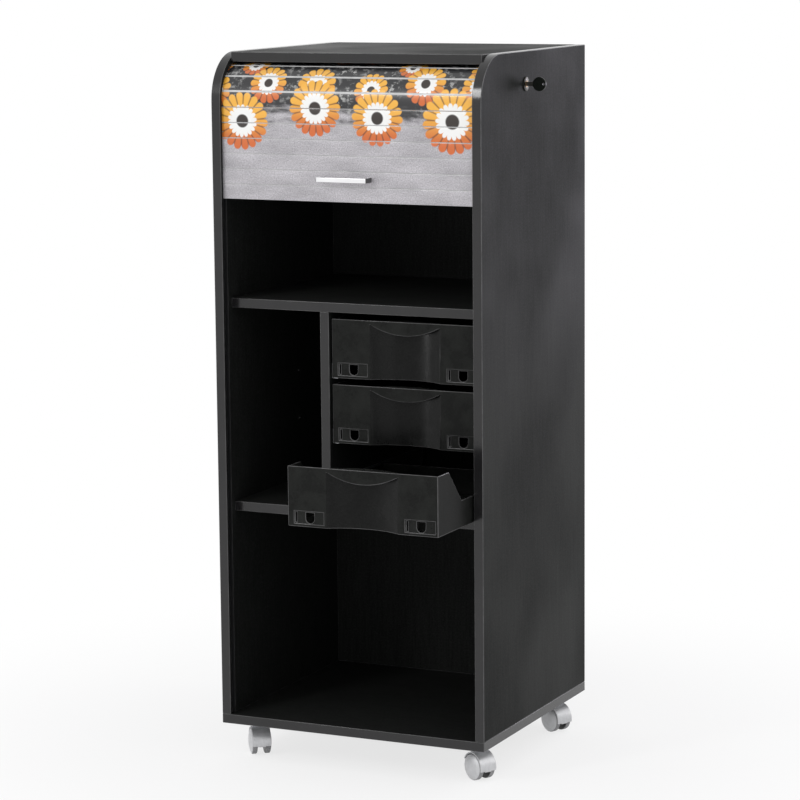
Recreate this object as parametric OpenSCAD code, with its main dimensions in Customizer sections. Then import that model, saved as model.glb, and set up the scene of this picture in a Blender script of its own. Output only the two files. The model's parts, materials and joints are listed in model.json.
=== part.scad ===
// Mobile filing tower: a board carcass on four twin-wheel castors, with a roller
// shutter in side tracks, a hanging-file bay, a narrow bay beside three moulded
// drawers, an open bay for binders and a cylinder lock in the right side panel.
// Millimetres. X runs to the right, Y to the back and Z up. The origin is on the
// floor, under the middle of the carcass. Heights count up from the carcass's
// underside unless their comment says otherwise.

/* [Carcass] */
// Outside width of the carcass
carcass_w = 480; // [460:2:560]
// Outside depth of the carcass
carcass_d = 442; // [438:1:520]
// Height of the carcass without the castors
carcass_h = 1122; // [1110:1:1300]
// Thickness of the boards
board_t = 16; // [15:0.5:19]
// Thickness of the back panel
back_t = 8; // [5:0.5:10]
// Thickness of the inner back panel that hides the shutter's rear run
inner_back_t = 3; // [2.5:0.5:4]
// Radius of the rounded front top corner of the side panels
side_corner_r = 78; // [60:1:90]
// Distance of the top panel's front edge behind the carcass's front
top_setback = 41; // [36:1:60]
// Distance of the shelves' front edges behind the carcass's front
shelf_setback = 28; // [24:1:36]
// Height of the lower shelf's top face
lower_shelf_h = 376; // [350:1:400]
// Height of the upper shelf's top face
upper_shelf_h = 718; // [700:1:760]
// Clear width of the narrow bay beside the drawers
narrow_bay_w = 163; // [150:1:175]

/* [Roller shutter] */
// Height of the open shutter's front, from its leading edge to the carcass's top
shutter_edge_h = 238; // [222:1:282]
// Pitch of the slats along the shutter
slat_pitch = 25; // [22:0.5:28]
// Gap between two slats
slat_gap = 0.6; // [0.4:0.1:1]
// Thickness of a slat
slat_t = 7; // [6:0.5:8]
// Bevel on the rear edges of a slat, which lets the shutter bend
slat_bevel = 1.4; // [1.2:0.1:2]
// Outside radius of the shutter where it turns under the top
shutter_r = 60; // [56:1:66]
// Distance of the shutter's face behind the carcass's front
shutter_inset = 8; // [7:0.5:12]
// Depth to which the slats' ends run in each side panel
slat_end_depth = 6; // [4:0.5:7]
// Wall of the plastic track liners
liner_t = 1; // [0.8:0.1:1.5]

/* [Shutter handle] */
// Width of the handle
handle_w = 90; // [70:2:140]
// Height of the handle
handle_h = 8; // [6:0.5:12]
// Distance by which the handle stands out from the slat
handle_reach = 21; // [18:1:35]
// Thickness of the handle's front bar and legs
handle_bar_t = 5; // [4:0.5:7]

/* [Drawers] */
// Distance of the closed drawers' fronts behind the carcass's front
drawer_setback = 33; // [30:1:45]
// Gap between the drawers, one above the other
drawer_gap = 10.5; // [8:0.5:14]
// Gap between a drawer and the board beside it
drawer_side_gap = 3; // [2.5:0.1:4]
// Wall of the drawers' sides, back and bottom
drawer_wall = 2.5; // [2:0.1:3]
// Wall of the drawers' fronts
drawer_front_t = 3; // [2.5:0.1:4]
// Height of the drawers' sides and back behind the sloping part
drawer_low_h = 44; // [36:1:56]
// Width of the finger recess in a drawer's front
recess_w = 127; // [90:1:140]
// Depth of the finger recess
recess_d = 18; // [12:1:22]
// Distance by which the lowest drawer is pulled out
drawer_3_out = 165; // [100:1:200]

/* [Lock] */
// Distance of the lock's axis behind the carcass's front
lock_setback = 181; // [120:1:260]
// Distance of the lock's axis below the top of the carcass
lock_drop = 53; // [53:1:70]
// Diameter of the lock's outer flange
lock_flange_d = 23; // [21:1:26]
// Diameter of the lock's barrel
lock_barrel_d = 18; // [16:0.5:19]
// Diameter of the turning plug
plug_d = 11; // [10:0.5:12]
// Diameter of the key's round head
key_head_d = 23; // [20:1:28]

/* [Hanging rails] */
// Distance of the front rail behind the carcass's front
rail_setback = 50; // [44:1:60]
// Spacing between the rear rail and the inner back panel
rail_spacing = 30; // [26:1:60]
// Height of the carcass's top above the rails' top edges
rail_top_h = 76; // [72:1:102]
// Height of a rail
rail_h = 16; // [12:1:20]
// Thickness of a rail
rail_t = 4; // [3:0.5:6]

/* [Castors] */
// Height from the floor to the underside of the carcass
castor_h = 60; // [58:1:70]
// Distance of each castor's swivel axis from the carcass's sides
castor_inset_x = 39; // [36:1:60]
// Distance of each castor's swivel axis from the front and the back
castor_inset_y = 56; // [38:1:70]
// Diameter of a wheel
wheel_d = 44; // [40:1:46]
// Width of a wheel's tread
tread_w = 8.5; // [7:0.5:10]
// Height of the domed face of a wheel beyond its tread
wheel_dome = 3.8; // [2:0.2:5]
// Distance of the wheels' axle from the swivel axis
castor_trail = 10; // [8:1:14]
// Direction in which the front left castor trails, in degrees from +X
castor_turn_fl = -53; // [-180:1:180]
// Direction in which the front right castor trails, in degrees from +X
castor_turn_fr = -30; // [-180:1:180]
// Direction in which the back right castor trails, in degrees from +X
castor_turn_br = -28; // [-180:1:180]
// Direction in which the back left castor trails, in degrees from +X
castor_turn_bl = -140; // [-180:1:180]

/* [Hidden] */
$fn = 48;

// Colours, as the finishes of the real pieces.
board_colour = [0.13, 0.13, 0.135];
edge_colour = [0.22, 0.22, 0.23];
plastic_colour = [0.11, 0.115, 0.11];
slat_colour = [0.62, 0.62, 0.64];
castor_colour = [0.72, 0.73, 0.75];
steel_colour = [0.7, 0.71, 0.73];
brass_colour = [0.75, 0.65, 0.4];
white_colour = [0.93, 0.93, 0.94];
dowel_colour = [0.78, 0.62, 0.42];

// Clearances.
cut = 1;                // how far a cutter runs past the face that it opens
running_gap = 0.05;     // radial gap of a pin in a hole
seat_gap = 0.3;         // gap between a moving piece and what carries it
slide_gap = 0.4;        // gap between a slat and its track on each side
shutter_top_gap = 2;    // gap between the shutter's top run and the top panel
shutter_rear_gap = 6;   // gap between the shutter's rear run and the back panel
inner_back_gap = 8;     // gap between the rear run and the inner back panel

// Main planes.
inner_w = carcass_w - 2 * board_t;
side_x = inner_w / 2;
front_y = -carcass_d / 2;
back_y = carcass_d / 2;
base_z = castor_h;
floor_z = base_z + board_t;
top_z = base_z + carcass_h;
ceiling_z = top_z - board_t;
back_face_y = back_y - back_t;
rebate_lip = 4;         // board left outside the back panel
rebate = board_t - rebate_lip;
shelf_y = front_y + shelf_setback;
upper_z = base_z + upper_shelf_h;
lower_z = base_z + lower_shelf_h;
bay_h = upper_z - board_t - lower_z;
divider_x = -side_x + narrow_bay_w;

// The shutter's path, along the middle of its slats.
path_r = shutter_r - slat_t / 2;
path_front_y = front_y + shutter_inset + slat_t / 2;
path_top_z = ceiling_z - shutter_top_gap - slat_t / 2;
path_rear_y = back_face_y - shutter_rear_gap - slat_t / 2;
arc_z = path_top_z - path_r;
front_arc_y = path_front_y + path_r;
rear_arc_y = path_rear_y - path_r;
edge_z = top_z - shutter_edge_h;
front_run = arc_z - edge_z;
arc_run = PI / 2 * path_r;
top_run = rear_arc_y - front_arc_y;
arc_end = front_run + arc_run;
top_end = arc_end + top_run;
rear_start = top_end + arc_run;
slats_in_front = floor(front_run / slat_pitch);
slats_to_arc_end = ceil(arc_end / slat_pitch);
slats_to_top_end = ceil(top_end / slat_pitch);
slat_w = slat_pitch - slat_gap;
slat_l = inner_w + 2 * slat_end_depth;
// The straight slats need more room on the outside where the track bends. It is
// rounded up to a tenth of a millimetre.
bend_room = ceil(10 * (norm([shutter_r, slat_w / 2]) - shutter_r)) / 10;
track_in = slat_t / 2 + slide_gap;
track_out = slat_t / 2 + slide_gap + bend_room;
groove_depth = slat_end_depth + slide_gap + liner_t;
inner_back_y = path_rear_y - slat_t / 2 - inner_back_gap - inner_back_t;
shelf_d = inner_back_y - shelf_y;

// Direction of a slat at a distance along the path: 0 upright in front, 90 flat
// on top and 180 upright behind.
function path_angle(s) =
    s < front_run ? 0 :
    s < arc_end ? (s - front_run) / path_r * 180 / PI :
    s < top_end ? 90 :
    s < rear_start ? 90 + (s - top_end) / path_r * 180 / PI : 180;
function path_y(s) =
    s < arc_end ? front_arc_y - path_r * cos(path_angle(s)) :
    s < top_end ? front_arc_y + s - arc_end :
    rear_arc_y - path_r * cos(path_angle(s));
function path_z(s) =
    s < front_run ? edge_z + s :
    s < rear_start ? arc_z + path_r * sin(path_angle(s)) :
    arc_z - (s - rear_start);

// Draws a 2D shape in Y and Z and extrudes it along X.
module along_x(x0, length) {
    translate([x0, 0, 0])
        rotate([90, 0, 90])
            linear_extrude(length)
                children();
}

// Draws a 2D shape in X and Z and extrudes it along Y.
module along_y(y0, length) {
    translate([0, y0 + length, 0])
        rotate([90, 0, 0])
            linear_extrude(length)
                children();
}

// A straight pin along X, from x0 towards +X.
module pin_x(x0, length, r) {
    translate([x0, 0, 0])
        rotate([0, 90, 0])
            cylinder(r = r, h = length);
}

// A straight pin along Y, from y0 towards +Y.
module pin_y(y0, length, r) {
    translate([0, y0, 0])
        rotate([-90, 0, 0])
            cylinder(r = r, h = length);
}

// Shape of a quarter ring about the origin, turned by quarter turns.
module quarter_ring(r_out, r_in, turn) {
    rotate(turn)
        intersection() {
            difference() {
                circle(r = r_out, $fn = 96);
                circle(r = r_in, $fn = 96);
            }
            square(r_out + cut);
        }
}

// A band in Y and Z that follows the shutter's path: the track's clear width and
// a wall on both sides of it.
module path_band(wall) {
    band_in = track_in + wall;
    band_out = track_out + wall;
    translate([path_front_y - band_out, floor_z])
        square([band_out + band_in, arc_z - floor_z]);
    translate([front_arc_y, arc_z])
        quarter_ring(path_r + band_out, path_r - band_in, 90);
    translate([front_arc_y, path_top_z - band_in])
        square([top_run, band_out + band_in]);
    translate([rear_arc_y, arc_z])
        quarter_ring(path_r + band_out, path_r - band_in, 0);
    translate([path_rear_y - band_in, floor_z])
        square([band_out + band_in, arc_z - floor_z]);
}

// Cam fittings join the top panel and the shelves to the side panels. Each board
// has one near its front and one near its back, at both ends.
cam_d = 15;
cam_depth = 12;
cam_reach = 34;         // from the board's end to the cam's middle
cam_bolt_d = 6;
cam_bolt_sink = 9;      // how deep the bolts sit in the side panels
cam_margin = 40;
cam_slot = [8, 2.4, 1];
module cam_places() {
    for (board = [[ceiling_z, front_y + top_setback],
                  [upper_z - board_t, shelf_y], [lower_z - board_t, shelf_y]])
        for (side = [-1, 1])
            for (y = [board[1] + cam_margin, inner_back_y - cam_margin])
                translate([side * side_x, y, board[0]])
                    mirror([side < 0 ? 0 : 1, 0, 0])
                        children();
}

// Space of every cam disc and cam bolt, with its clearance.
module cam_space() {
    cam_places() {
        translate([cam_reach, 0, -cut])
            cylinder(d = cam_d + 2 * running_gap, h = cam_depth + cut);
        translate([0, 0, board_t / 2])
            pin_x(-cam_bolt_sink, cam_bolt_sink + cam_reach, cam_bolt_d / 2 + running_gap);
    }
}

module cam_discs() {
    color(steel_colour)
        cam_places()
            translate([cam_reach, 0, 0])
                difference() {
                    cylinder(d = cam_d, h = cam_depth);
                    translate([-cam_slot[0] / 2, -cam_slot[1] / 2, -cut])
                        cube([cam_slot[0], cam_slot[1], cam_slot[2] + cut]);
                }
}

module cam_bolts() {
    color(steel_colour)
        cam_places()
            translate([0, 0, board_t / 2])
                pin_x(-cam_bolt_sink, cam_bolt_sink + cam_reach - cam_d / 2 - seat_gap, cam_bolt_d / 2);
}

// Dowels hold the divider between the two shelves.
dowel_d = 8;
dowel_half = 7;         // how far a dowel goes into each board
module dowel_places() {
    for (z = [upper_z - board_t, lower_z])
        for (y = [shelf_y + cam_margin, inner_back_y - cam_margin])
            translate([divider_x + board_t / 2, y, z - dowel_half])
                children();
}

module dowel_space() {
    dowel_places()
        cylinder(d = dowel_d + 2 * running_gap, h = 2 * dowel_half);
}

module divider_dowels() {
    color(dowel_colour)
        dowel_places()
            cylinder(d = dowel_d, h = 2 * dowel_half);
}

// Screws come up through the base panel into the side panels.
screw_d = 6;
screw_head_d = 10;
screw_head_h = 4;
screw_l = 46;
screw_margin = 60;      // from the base panel's front and back edges
socket_w = 4;
socket_depth = 2.5;
module carcass_screw_places() {
    for (side = [-1, 1])
        for (y = [front_y + screw_margin, 0, back_y - screw_margin])
            translate([side * (side_x + board_t / 2), y, base_z])
                children();
}

// A carcass screw, or with a gap the hole that it fills.
module carcass_screw(gap) {
    start = gap > 0 ? -cut : 0;
    translate([0, 0, start]) {
        cylinder(d = screw_head_d + 2 * gap, h = screw_head_h + gap - start);
        cylinder(d = screw_d + 2 * gap, h = screw_l + gap - start);
    }
}

module carcass_screws() {
    color(steel_colour)
        carcass_screw_places()
            difference() {
                carcass_screw(0);
                translate([0, 0, -cut])
                    cylinder(d = socket_w, h = socket_depth + cut, $fn = 6);
            }
}

// Small screws hold the back panel in the rebates of the side panels.
small_screw_d = 3;
small_head_d = 6.5;
small_head_h = 1.6;
small_screw_l = 16;
small_slot = [4, 0.8, 0.8];
back_screw_rows = 6;
back_screw_margin = 50;
module back_screw_places() {
    // Outside the track, so that the screws pass it
    x = side_x + groove_depth + seat_gap + small_screw_d / 2;
    step = (ceiling_z - floor_z - 2 * back_screw_margin) / (back_screw_rows - 1);
    for (side = [-1, 1])
        for (row = [0 : back_screw_rows - 1])
            translate([side * x, back_y, floor_z + back_screw_margin + row * step])
                children();
}

module back_screws() {
    color(steel_colour)
        back_screw_places()
            difference() {
                union() {
                    pin_y(0, small_head_h, small_head_d / 2);
                    pin_y(-small_screw_l, small_screw_l + small_head_h, small_screw_d / 2);
                }
                for (turn = [0, 90])
                    rotate([0, turn, 0])
                        translate([-small_slot[0] / 2, small_head_h - small_slot[1], -small_slot[2] / 2])
                            cube([small_slot[0], small_slot[1] + cut, small_slot[2]]);
            }
}

module back_screw_space() {
    back_screw_places()
        pin_y(-small_screw_l - running_gap, small_screw_l + cut, small_screw_d / 2 + running_gap);
}

// Boards.
module base_panel() {
    color(board_colour)
        difference() {
            translate([-carcass_w / 2, front_y, base_z])
                cube([carcass_w, carcass_d, board_t]);
            carcass_screw_places()
                carcass_screw(running_gap);
            castor_screw_places()
                translate([0, 0, -cut])
                    cylinder(d = castor_screw_d + 2 * running_gap, h = castor_screw_l + cut);
        }
}

// Outline of a side panel in Y and Z.
module side_outline() {
    difference() {
        translate([front_y, floor_z])
            square([carcass_d, top_z - floor_z]);
        translate([front_y - cut, top_z - side_corner_r])
            square(side_corner_r + cut);
    }
    translate([front_y + side_corner_r, top_z - side_corner_r])
        intersection() {
            circle(r = side_corner_r, $fn = 96);
            translate([-side_corner_r, 0])
                square(side_corner_r);
        }
}

// A side panel on the right, with its track groove and its rebate.
module side_panel_body() {
    difference() {
        along_x(side_x, board_t)
            side_outline();
        along_x(side_x - cut, groove_depth + cut)
            path_band(liner_t);
        translate([side_x - cut, back_face_y, floor_z - cut])
            cube([rebate + cut, back_t + cut, ceiling_z - floor_z + cut]);
    }
}

module side_panel_left() {
    color(board_colour)
        difference() {
            mirror([1, 0, 0])
                side_panel_body();
            cam_space();
            back_screw_space();
            carcass_screw_places()
                carcass_screw(running_gap);
            fitting_screw_space();
        }
}

module side_panel_right() {
    color(board_colour)
        difference() {
            side_panel_body();
            cam_space();
            back_screw_space();
            carcass_screw_places()
                carcass_screw(running_gap);
            fitting_screw_space();
            translate([0, lock_y, lock_z])
                pin_x(side_x - cut, board_t + 2 * cut, lock_barrel_d / 2 + running_gap);
        }
}

module top_panel() {
    color(board_colour)
        difference() {
            translate([-side_x, front_y + top_setback, ceiling_z])
                cube([inner_w, carcass_d - top_setback, board_t]);
            cam_space();
        }
}

module back_panel() {
    color(edge_colour)
        difference() {
            translate([-side_x - rebate, back_face_y, floor_z])
                cube([inner_w + 2 * rebate, back_t, ceiling_z - floor_z]);
            back_screw_space();
        }
}

module inner_back_panel() {
    color(board_colour)
        translate([-side_x, inner_back_y, floor_z])
            cube([inner_w, inner_back_t, arc_z - floor_z]);
}

// A shelf whose top face is at a height.
module shelf(top) {
    difference() {
        translate([-side_x, shelf_y, top - board_t])
            cube([inner_w, shelf_d, board_t]);
        cam_space();
        dowel_space();
    }
}

module upper_shelf() {
    color(board_colour)
        shelf(upper_z);
}

module lower_shelf() {
    color(board_colour)
        shelf(lower_z);
}

module divider() {
    color(board_colour)
        difference() {
            translate([divider_x, shelf_y, lower_z])
                cube([board_t, shelf_d, bay_h]);
            dowel_space();
            fitting_screw_space();
        }
}

// Plastic U-section liners in the side panels' grooves.
module track_body() {
    difference() {
        along_x(side_x, groove_depth)
            path_band(liner_t);
        along_x(side_x - cut, groove_depth - liner_t + cut)
            path_band(0);
    }
}

module track_right() {
    color(plastic_colour)
        track_body();
}

module track_left() {
    color(plastic_colour)
        mirror([1, 0, 0])
            track_body();
}

// Roller shutter.
// Section of a slat in Y and Z, with its face towards -Y and its middle at 0.
module slat_section() {
    polygon([
        [-slat_t / 2, -slat_w / 2],
        [0, -slat_w / 2],
        [slat_t / 2, -slat_w / 2 + slat_bevel],
        [slat_t / 2, slat_w / 2 - slat_bevel],
        [0, slat_w / 2],
        [-slat_t / 2, slat_w / 2]
    ]);
}

// The upper half of a slat's section.
module slat_section_top() {
    intersection() {
        slat_section();
        translate([-slat_t, 0])
            square([2 * slat_t, slat_w]);
    }
}

// Puts a piece on a slat, counted from the leading edge. In the slat's own frame
// its face points to -Y and its middle is at the origin.
module at_slat(i) {
    s = (i + 0.5) * slat_pitch;
    translate([0, path_y(s), path_z(s)])
        rotate([-path_angle(s), 0, 0])
            children();
}

// A run of slats, joined by the thin strips at which the shutter bends.
hinge_t = 0.8;
hinge_sink = 0.2;       // how far a strip enters the next slat on the bend
hinge_l = 2 * path_r * tan(slat_pitch / path_r * 90 / PI) - slat_w + hinge_sink;
module slats(first, last) {
    for (i = [first : last])
        at_slat(i)
            along_x(-slat_l / 2, slat_l)
                slat_section();
    for (i = [first + 1 : last])
        at_slat(i)
            along_x(-slat_l / 2, slat_l)
                translate([-hinge_t / 2, -slat_w / 2 - hinge_l])
                    square([hinge_t, hinge_l + cut]);
}

// The leading slat is square at the bottom and carries a soft lip.
lip_h = 3;
lip_t = 3;
module shutter_end_slat() {
    color(slat_colour)
        at_slat(0)
            along_x(-slat_l / 2, slat_l) {
                translate([-slat_t / 2, lip_h - slat_pitch / 2])
                    square([slat_t, slat_pitch / 2 - lip_h + cut]);
                slat_section_top();
                translate([-lip_t / 2, -slat_pitch / 2])
                    square([lip_t, lip_h + cut]);
                translate([-hinge_t / 2, slat_w / 2 - cut])
                    square([hinge_t, slat_gap + cut]);
            }
}

module shutter_slats_front() {
    color(slat_colour)
        difference() {
            slats(1, slats_in_front - 1);
            handle_screw_places()
                pin_y(-slat_t / 2 - cut, slat_t + 2 * cut, handle_screw_d / 2 + running_gap);
        }
}

module shutter_slats_arc() {
    color(slat_colour)
        slats(slats_in_front, slats_to_arc_end - 1);
}

module shutter_slats_top() {
    color(slat_colour)
        slats(slats_to_arc_end, slats_to_top_end - 1);
}

module shutter_slats_rear() {
    color(slat_colour)
        difference() {
            slats(slats_to_top_end, slat_total - 1);
            lock_stop_screw(running_gap);
        }
}

// The handle is a bar on two legs, screwed to the second slat from behind.
handle_z = edge_z + 1.5 * slat_pitch;
handle_leg_w = 7;
handle_screw_d = 3.5;
handle_screw_grip = 10;
handle_head_d = 7;
handle_head_h = 2;
module handle_screw_places() {
    for (side = [-1, 1])
        translate([side * (handle_w - handle_leg_w) / 2, path_front_y, handle_z])
            children();
}

module shutter_handle() {
    face_y = path_front_y - slat_t / 2;
    color(white_colour)
        difference() {
            union() {
                translate([-handle_w / 2, face_y - handle_reach, handle_z - handle_h / 2])
                    cube([handle_w, handle_bar_t, handle_h]);
                for (side = [-1, 1])
                    translate([side * (handle_w - handle_leg_w) / 2 - handle_leg_w / 2,
                               face_y - handle_reach, handle_z - handle_h / 2])
                        cube([handle_leg_w, handle_reach, handle_h]);
            }
            handle_screw_places()
                pin_y(-slat_t / 2 - handle_screw_grip - running_gap, handle_screw_grip + cut,
                      handle_screw_d / 2 + running_gap);
        }
}

module handle_screws() {
    color(steel_colour)
        handle_screw_places() {
            pin_y(-slat_t / 2 - handle_screw_grip, slat_t + handle_screw_grip, handle_screw_d / 2);
            pin_y(slat_t / 2, handle_head_h, handle_head_d / 2);
        }
}

// Hanging-file rails run from side to side on a bracket at each end.
rail_top_z = top_z - rail_top_h;
rail_front_y = front_y + rail_setback;
rail_rear_y = inner_back_y - rail_spacing;
bracket_t = 8;
bracket_w = 18;
bracket_drop = 6;       // how far a bracket reaches below its rail
bracket_grip = 5;       // how deep a rail's end sits in its bracket
module rail(y) {
    translate([-side_x + bracket_t - bracket_grip, y - rail_t / 2, rail_top_z - rail_h])
        cube([inner_w - 2 * (bracket_t - bracket_grip), rail_t, rail_h]);
}

module hanging_rail_front() {
    color(steel_colour)
        rail(rail_front_y);
}

module hanging_rail_rear() {
    color(steel_colour)
        rail(rail_rear_y);
}

module rail_brackets() {
    color(plastic_colour)
        difference() {
            for (side = [-1, 1])
                for (y = [rail_front_y, rail_rear_y])
                    translate([side * (side_x - bracket_t / 2) - bracket_t / 2,
                               y - bracket_w / 2, rail_top_z - rail_h - bracket_drop])
                        cube([bracket_t, bracket_w, rail_h + bracket_drop]);
            for (y = [rail_front_y, rail_rear_y])
                translate([-side_x + bracket_t - bracket_grip - seat_gap,
                           y - rail_t / 2 - running_gap, rail_top_z - rail_h])
                    cube([inner_w - 2 * (bracket_t - bracket_grip - seat_gap),
                          rail_t + 2 * running_gap, rail_h + cut]);
            fitting_screw_space();
        }
}

// Drawers. The bay between the shelves holds three, one above the other.
drawer_count = 3;
drawer_top_gap = 0.5;
drawer_lift = 1.5;      // the drawer's underside above the shelf
drawer_rear_gap = 25;
bay_w = side_x - divider_x - board_t;
bay_x = divider_x + board_t + bay_w / 2;
drawer_pitch = (bay_h - drawer_lift - drawer_top_gap) / drawer_count;
drawer_w = bay_w - 2 * drawer_side_gap;
drawer_h = drawer_pitch - drawer_gap;
drawer_y = front_y + drawer_setback;
drawer_d = inner_back_y - drawer_rear_gap - drawer_y;
// Height of a drawer's underside, counted from the top drawer down.
function drawer_z(i) = lower_z + drawer_lift + (drawer_count - i) * drawer_pitch;

// The sides are full height behind the front, then slope down.
side_full = 42;
side_slope = 50;
recess_r = (pow(recess_w / 2, 2) + pow(recess_d, 2)) / (2 * recess_d);
visor_end_h = 6;        // height of the visor over the recess at its ends
visor_mid_h = 23;       // and in its middle
visor_drop = visor_mid_h - visor_end_h;
visor_w = recess_w + 2 * drawer_wall;
visor_r = (pow(recess_w / 2, 2) + pow(visor_drop, 2)) / (2 * visor_drop);
clip_w = 52;
clip_h = 20;
clip_z = 5;
clip_depth = 1;
clip_left = 11;         // from the front's left end to the left clip
clip_right = 5;         // from the right clip to the front's right end
clip_slot_w = 2.5;
clip_slot_h = 16;
clip_slot_left = 2;     // from the clip's left end to its slot
cup_w = 15;
cup_h = 17;
cup_left = 20;          // from the clip's left end to the cup
cup_drop = 2;           // from the clip's top to the cup

// A clip pocket with its slot and its cup-shaped hole, drawn from its corner.
module clip_cut() {
    along_y(-cut, clip_depth + cut)
        square([clip_w, clip_h]);
    along_y(-cut, drawer_front_t + 2 * cut) {
        translate([clip_slot_left, (clip_h - clip_slot_h) / 2])
            square([clip_slot_w, clip_slot_h]);
        translate([cup_left, clip_h - cup_drop - cup_h + cup_w / 2])
            square([cup_w, cup_h - cup_w / 2]);
        translate([cup_left + cup_w / 2, clip_h - cup_drop - cup_h + cup_w / 2])
            circle(d = cup_w);
    }
}

// Plan of the recess in a drawer's front, grown by a wall.
module recess_plan(wall) {
    intersection() {
        translate([0, recess_d - recess_r])
            circle(r = recess_r + wall, $fn = 128);
        translate([-drawer_w / 2, 0])
            square([drawer_w, recess_d + wall + cut]);
    }
}

// A drawer, with the middle of its front's lower edge at the origin.
module drawer_body() {
    difference() {
        union() {
            difference() {
                union() {
                    translate([-drawer_w / 2, 0, 0])
                        cube([drawer_w, drawer_d, drawer_wall]);
                    translate([-drawer_w / 2, 0, 0])
                        cube([drawer_w, drawer_front_t, drawer_h]);
                    linear_extrude(drawer_h)
                        recess_plan(drawer_front_t);
                }
                translate([0, 0, -cut])
                    linear_extrude(drawer_h + 2 * cut)
                        recess_plan(0);
            }
            // Visor over the recess, and the rim that closes it on top
            along_y(0, drawer_front_t)
                intersection() {
                    translate([0, drawer_h - visor_mid_h + visor_r])
                        circle(r = visor_r, $fn = 128);
                    translate([-visor_w / 2, drawer_h - visor_mid_h])
                        square([visor_w, visor_mid_h]);
                }
            translate([0, 0, drawer_h - drawer_wall])
                linear_extrude(drawer_wall)
                    recess_plan(drawer_wall);
            for (x = [-drawer_w / 2, drawer_w / 2 - drawer_wall])
                along_x(x, drawer_wall)
                    polygon([
                        [0, 0], [drawer_d, 0], [drawer_d, drawer_low_h],
                        [side_full + side_slope, drawer_low_h],
                        [side_full, drawer_h], [0, drawer_h]
                    ]);
            translate([-drawer_w / 2, drawer_d - drawer_wall, 0])
                cube([drawer_w, drawer_wall, drawer_low_h]);
        }
        translate([-drawer_w / 2 + clip_left, 0, clip_z])
            clip_cut();
        translate([drawer_w / 2 - clip_right - clip_w, 0, clip_z])
            clip_cut();
    }
}

module drawer(i, out) {
    color(plastic_colour)
        translate([bay_x, drawer_y - out, drawer_z(i)])
            drawer_body();
}

module drawer_1() {
    drawer(1, 0);
}

module drawer_2() {
    drawer(2, 0);
}

module drawer_3() {
    drawer(3, drawer_3_out);
}

// Runners carry the drawers on a ledge, and a second flange over the low part of
// the drawers' sides stops them from tipping when they are pulled out.
runner_t = 1.2;
runner_ledge = 10;
runner_lead = 6;        // the runner's front end behind the drawer's front
runner_low_h = 24;      // height of the runner's web in front of the keeper
keeper_gap = 0.6;
keeper_lead = 4;        // the keeper's front end behind the drawer's slope
runner_tail = 4;        // the runner's rear end behind the drawer
keeper_y = drawer_y + side_full + side_slope + keeper_lead;
runner_y = drawer_y + runner_lead;
runner_end_y = drawer_y + drawer_d + runner_tail;
runner_h = seat_gap + runner_t + drawer_low_h + keeper_gap + runner_t;

// A runner on the wall at the left of the bay, for one drawer.
module runner(i) {
    translate([divider_x + board_t, 0, drawer_z(i) - seat_gap - runner_t]) {
        translate([0, runner_y, 0])
            cube([runner_ledge, runner_end_y - runner_y, runner_t]);
        translate([0, runner_y, 0])
            cube([runner_t, runner_end_y - runner_y, runner_low_h]);
        translate([0, keeper_y, 0])
            cube([runner_t, runner_end_y - keeper_y, runner_h]);
        translate([0, keeper_y, runner_h - runner_t])
            cube([runner_ledge, runner_end_y - keeper_y, runner_t]);
    }
}

// Mirrors a piece to the other wall of the drawers' bay.
module mirrored_in_bay() {
    translate([bay_x, 0, 0])
        mirror([1, 0, 0])
            translate([-bay_x, 0, 0])
                children();
}

module runners_left() {
    color(steel_colour)
        difference() {
            for (i = [1 : drawer_count])
                runner(i);
            fitting_screw_space();
        }
}

module runners_right() {
    color(steel_colour)
        difference() {
            mirrored_in_bay()
                for (i = [1 : drawer_count])
                    runner(i);
            fitting_screw_space();
        }
}

// Screws of the runners and of the rail brackets, and two more in the narrow
// bay's outer wall. Each place has +X pointing away from the board, with the
// origin on the face that the head lies on.
fitting_screw_d = 3;
fitting_head_d = 6;
fitting_head_h = 1;
fitting_screw_sink = 8;
runner_screw_h = 14;
runner_screw_margin = 30;
wall_screw_setback = 272;
wall_screw_h = 104;     // the lower one, above the lower shelf
wall_screw_pitch = 84;
module runner_screw_places() {
    for (i = [1 : drawer_count])
        for (y = [runner_y + runner_screw_margin, (runner_y + runner_end_y) / 2,
                  runner_end_y - runner_screw_margin])
            translate([divider_x + board_t + runner_t, y, drawer_z(i) + runner_screw_h])
                children();
}

module bracket_screw_places() {
    for (side = [-1, 1])
        for (y = [rail_front_y, rail_rear_y])
            translate([side * (side_x - bracket_t), y, rail_top_z - rail_h - bracket_drop / 2])
                mirror([side < 0 ? 0 : 1, 0, 0])
                    children();
}

module wall_screw_places() {
    for (i = [0, 1])
        translate([-side_x, front_y + wall_screw_setback,
                   lower_z + wall_screw_h + i * wall_screw_pitch])
            children();
}

// A screw with a flat head that holds a piece of a thickness on a board.
module fitting_screw(thickness) {
    pin_x(-thickness - fitting_screw_sink, thickness + fitting_screw_sink, fitting_screw_d / 2);
    pin_x(0, fitting_head_h, fitting_head_d / 2);
}

// The hole for its shank.
module fitting_hole(thickness) {
    pin_x(-thickness - fitting_screw_sink - running_gap,
          thickness + fitting_screw_sink + running_gap + cut,
          fitting_screw_d / 2 + running_gap);
}

module fitting_screw_space() {
    runner_screw_places()
        fitting_hole(runner_t);
    mirrored_in_bay()
        runner_screw_places()
            fitting_hole(runner_t);
    bracket_screw_places()
        fitting_hole(bracket_t);
    wall_screw_places()
        fitting_hole(0);
}

module fitting_screws() {
    color(steel_colour) {
        runner_screw_places()
            fitting_screw(runner_t);
        mirrored_in_bay()
            runner_screw_places()
                fitting_screw(runner_t);
        bracket_screw_places()
            fitting_screw(bracket_t);
        wall_screw_places()
            fitting_screw(0);
        lock_stop_screw(0);
    }
}

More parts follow.
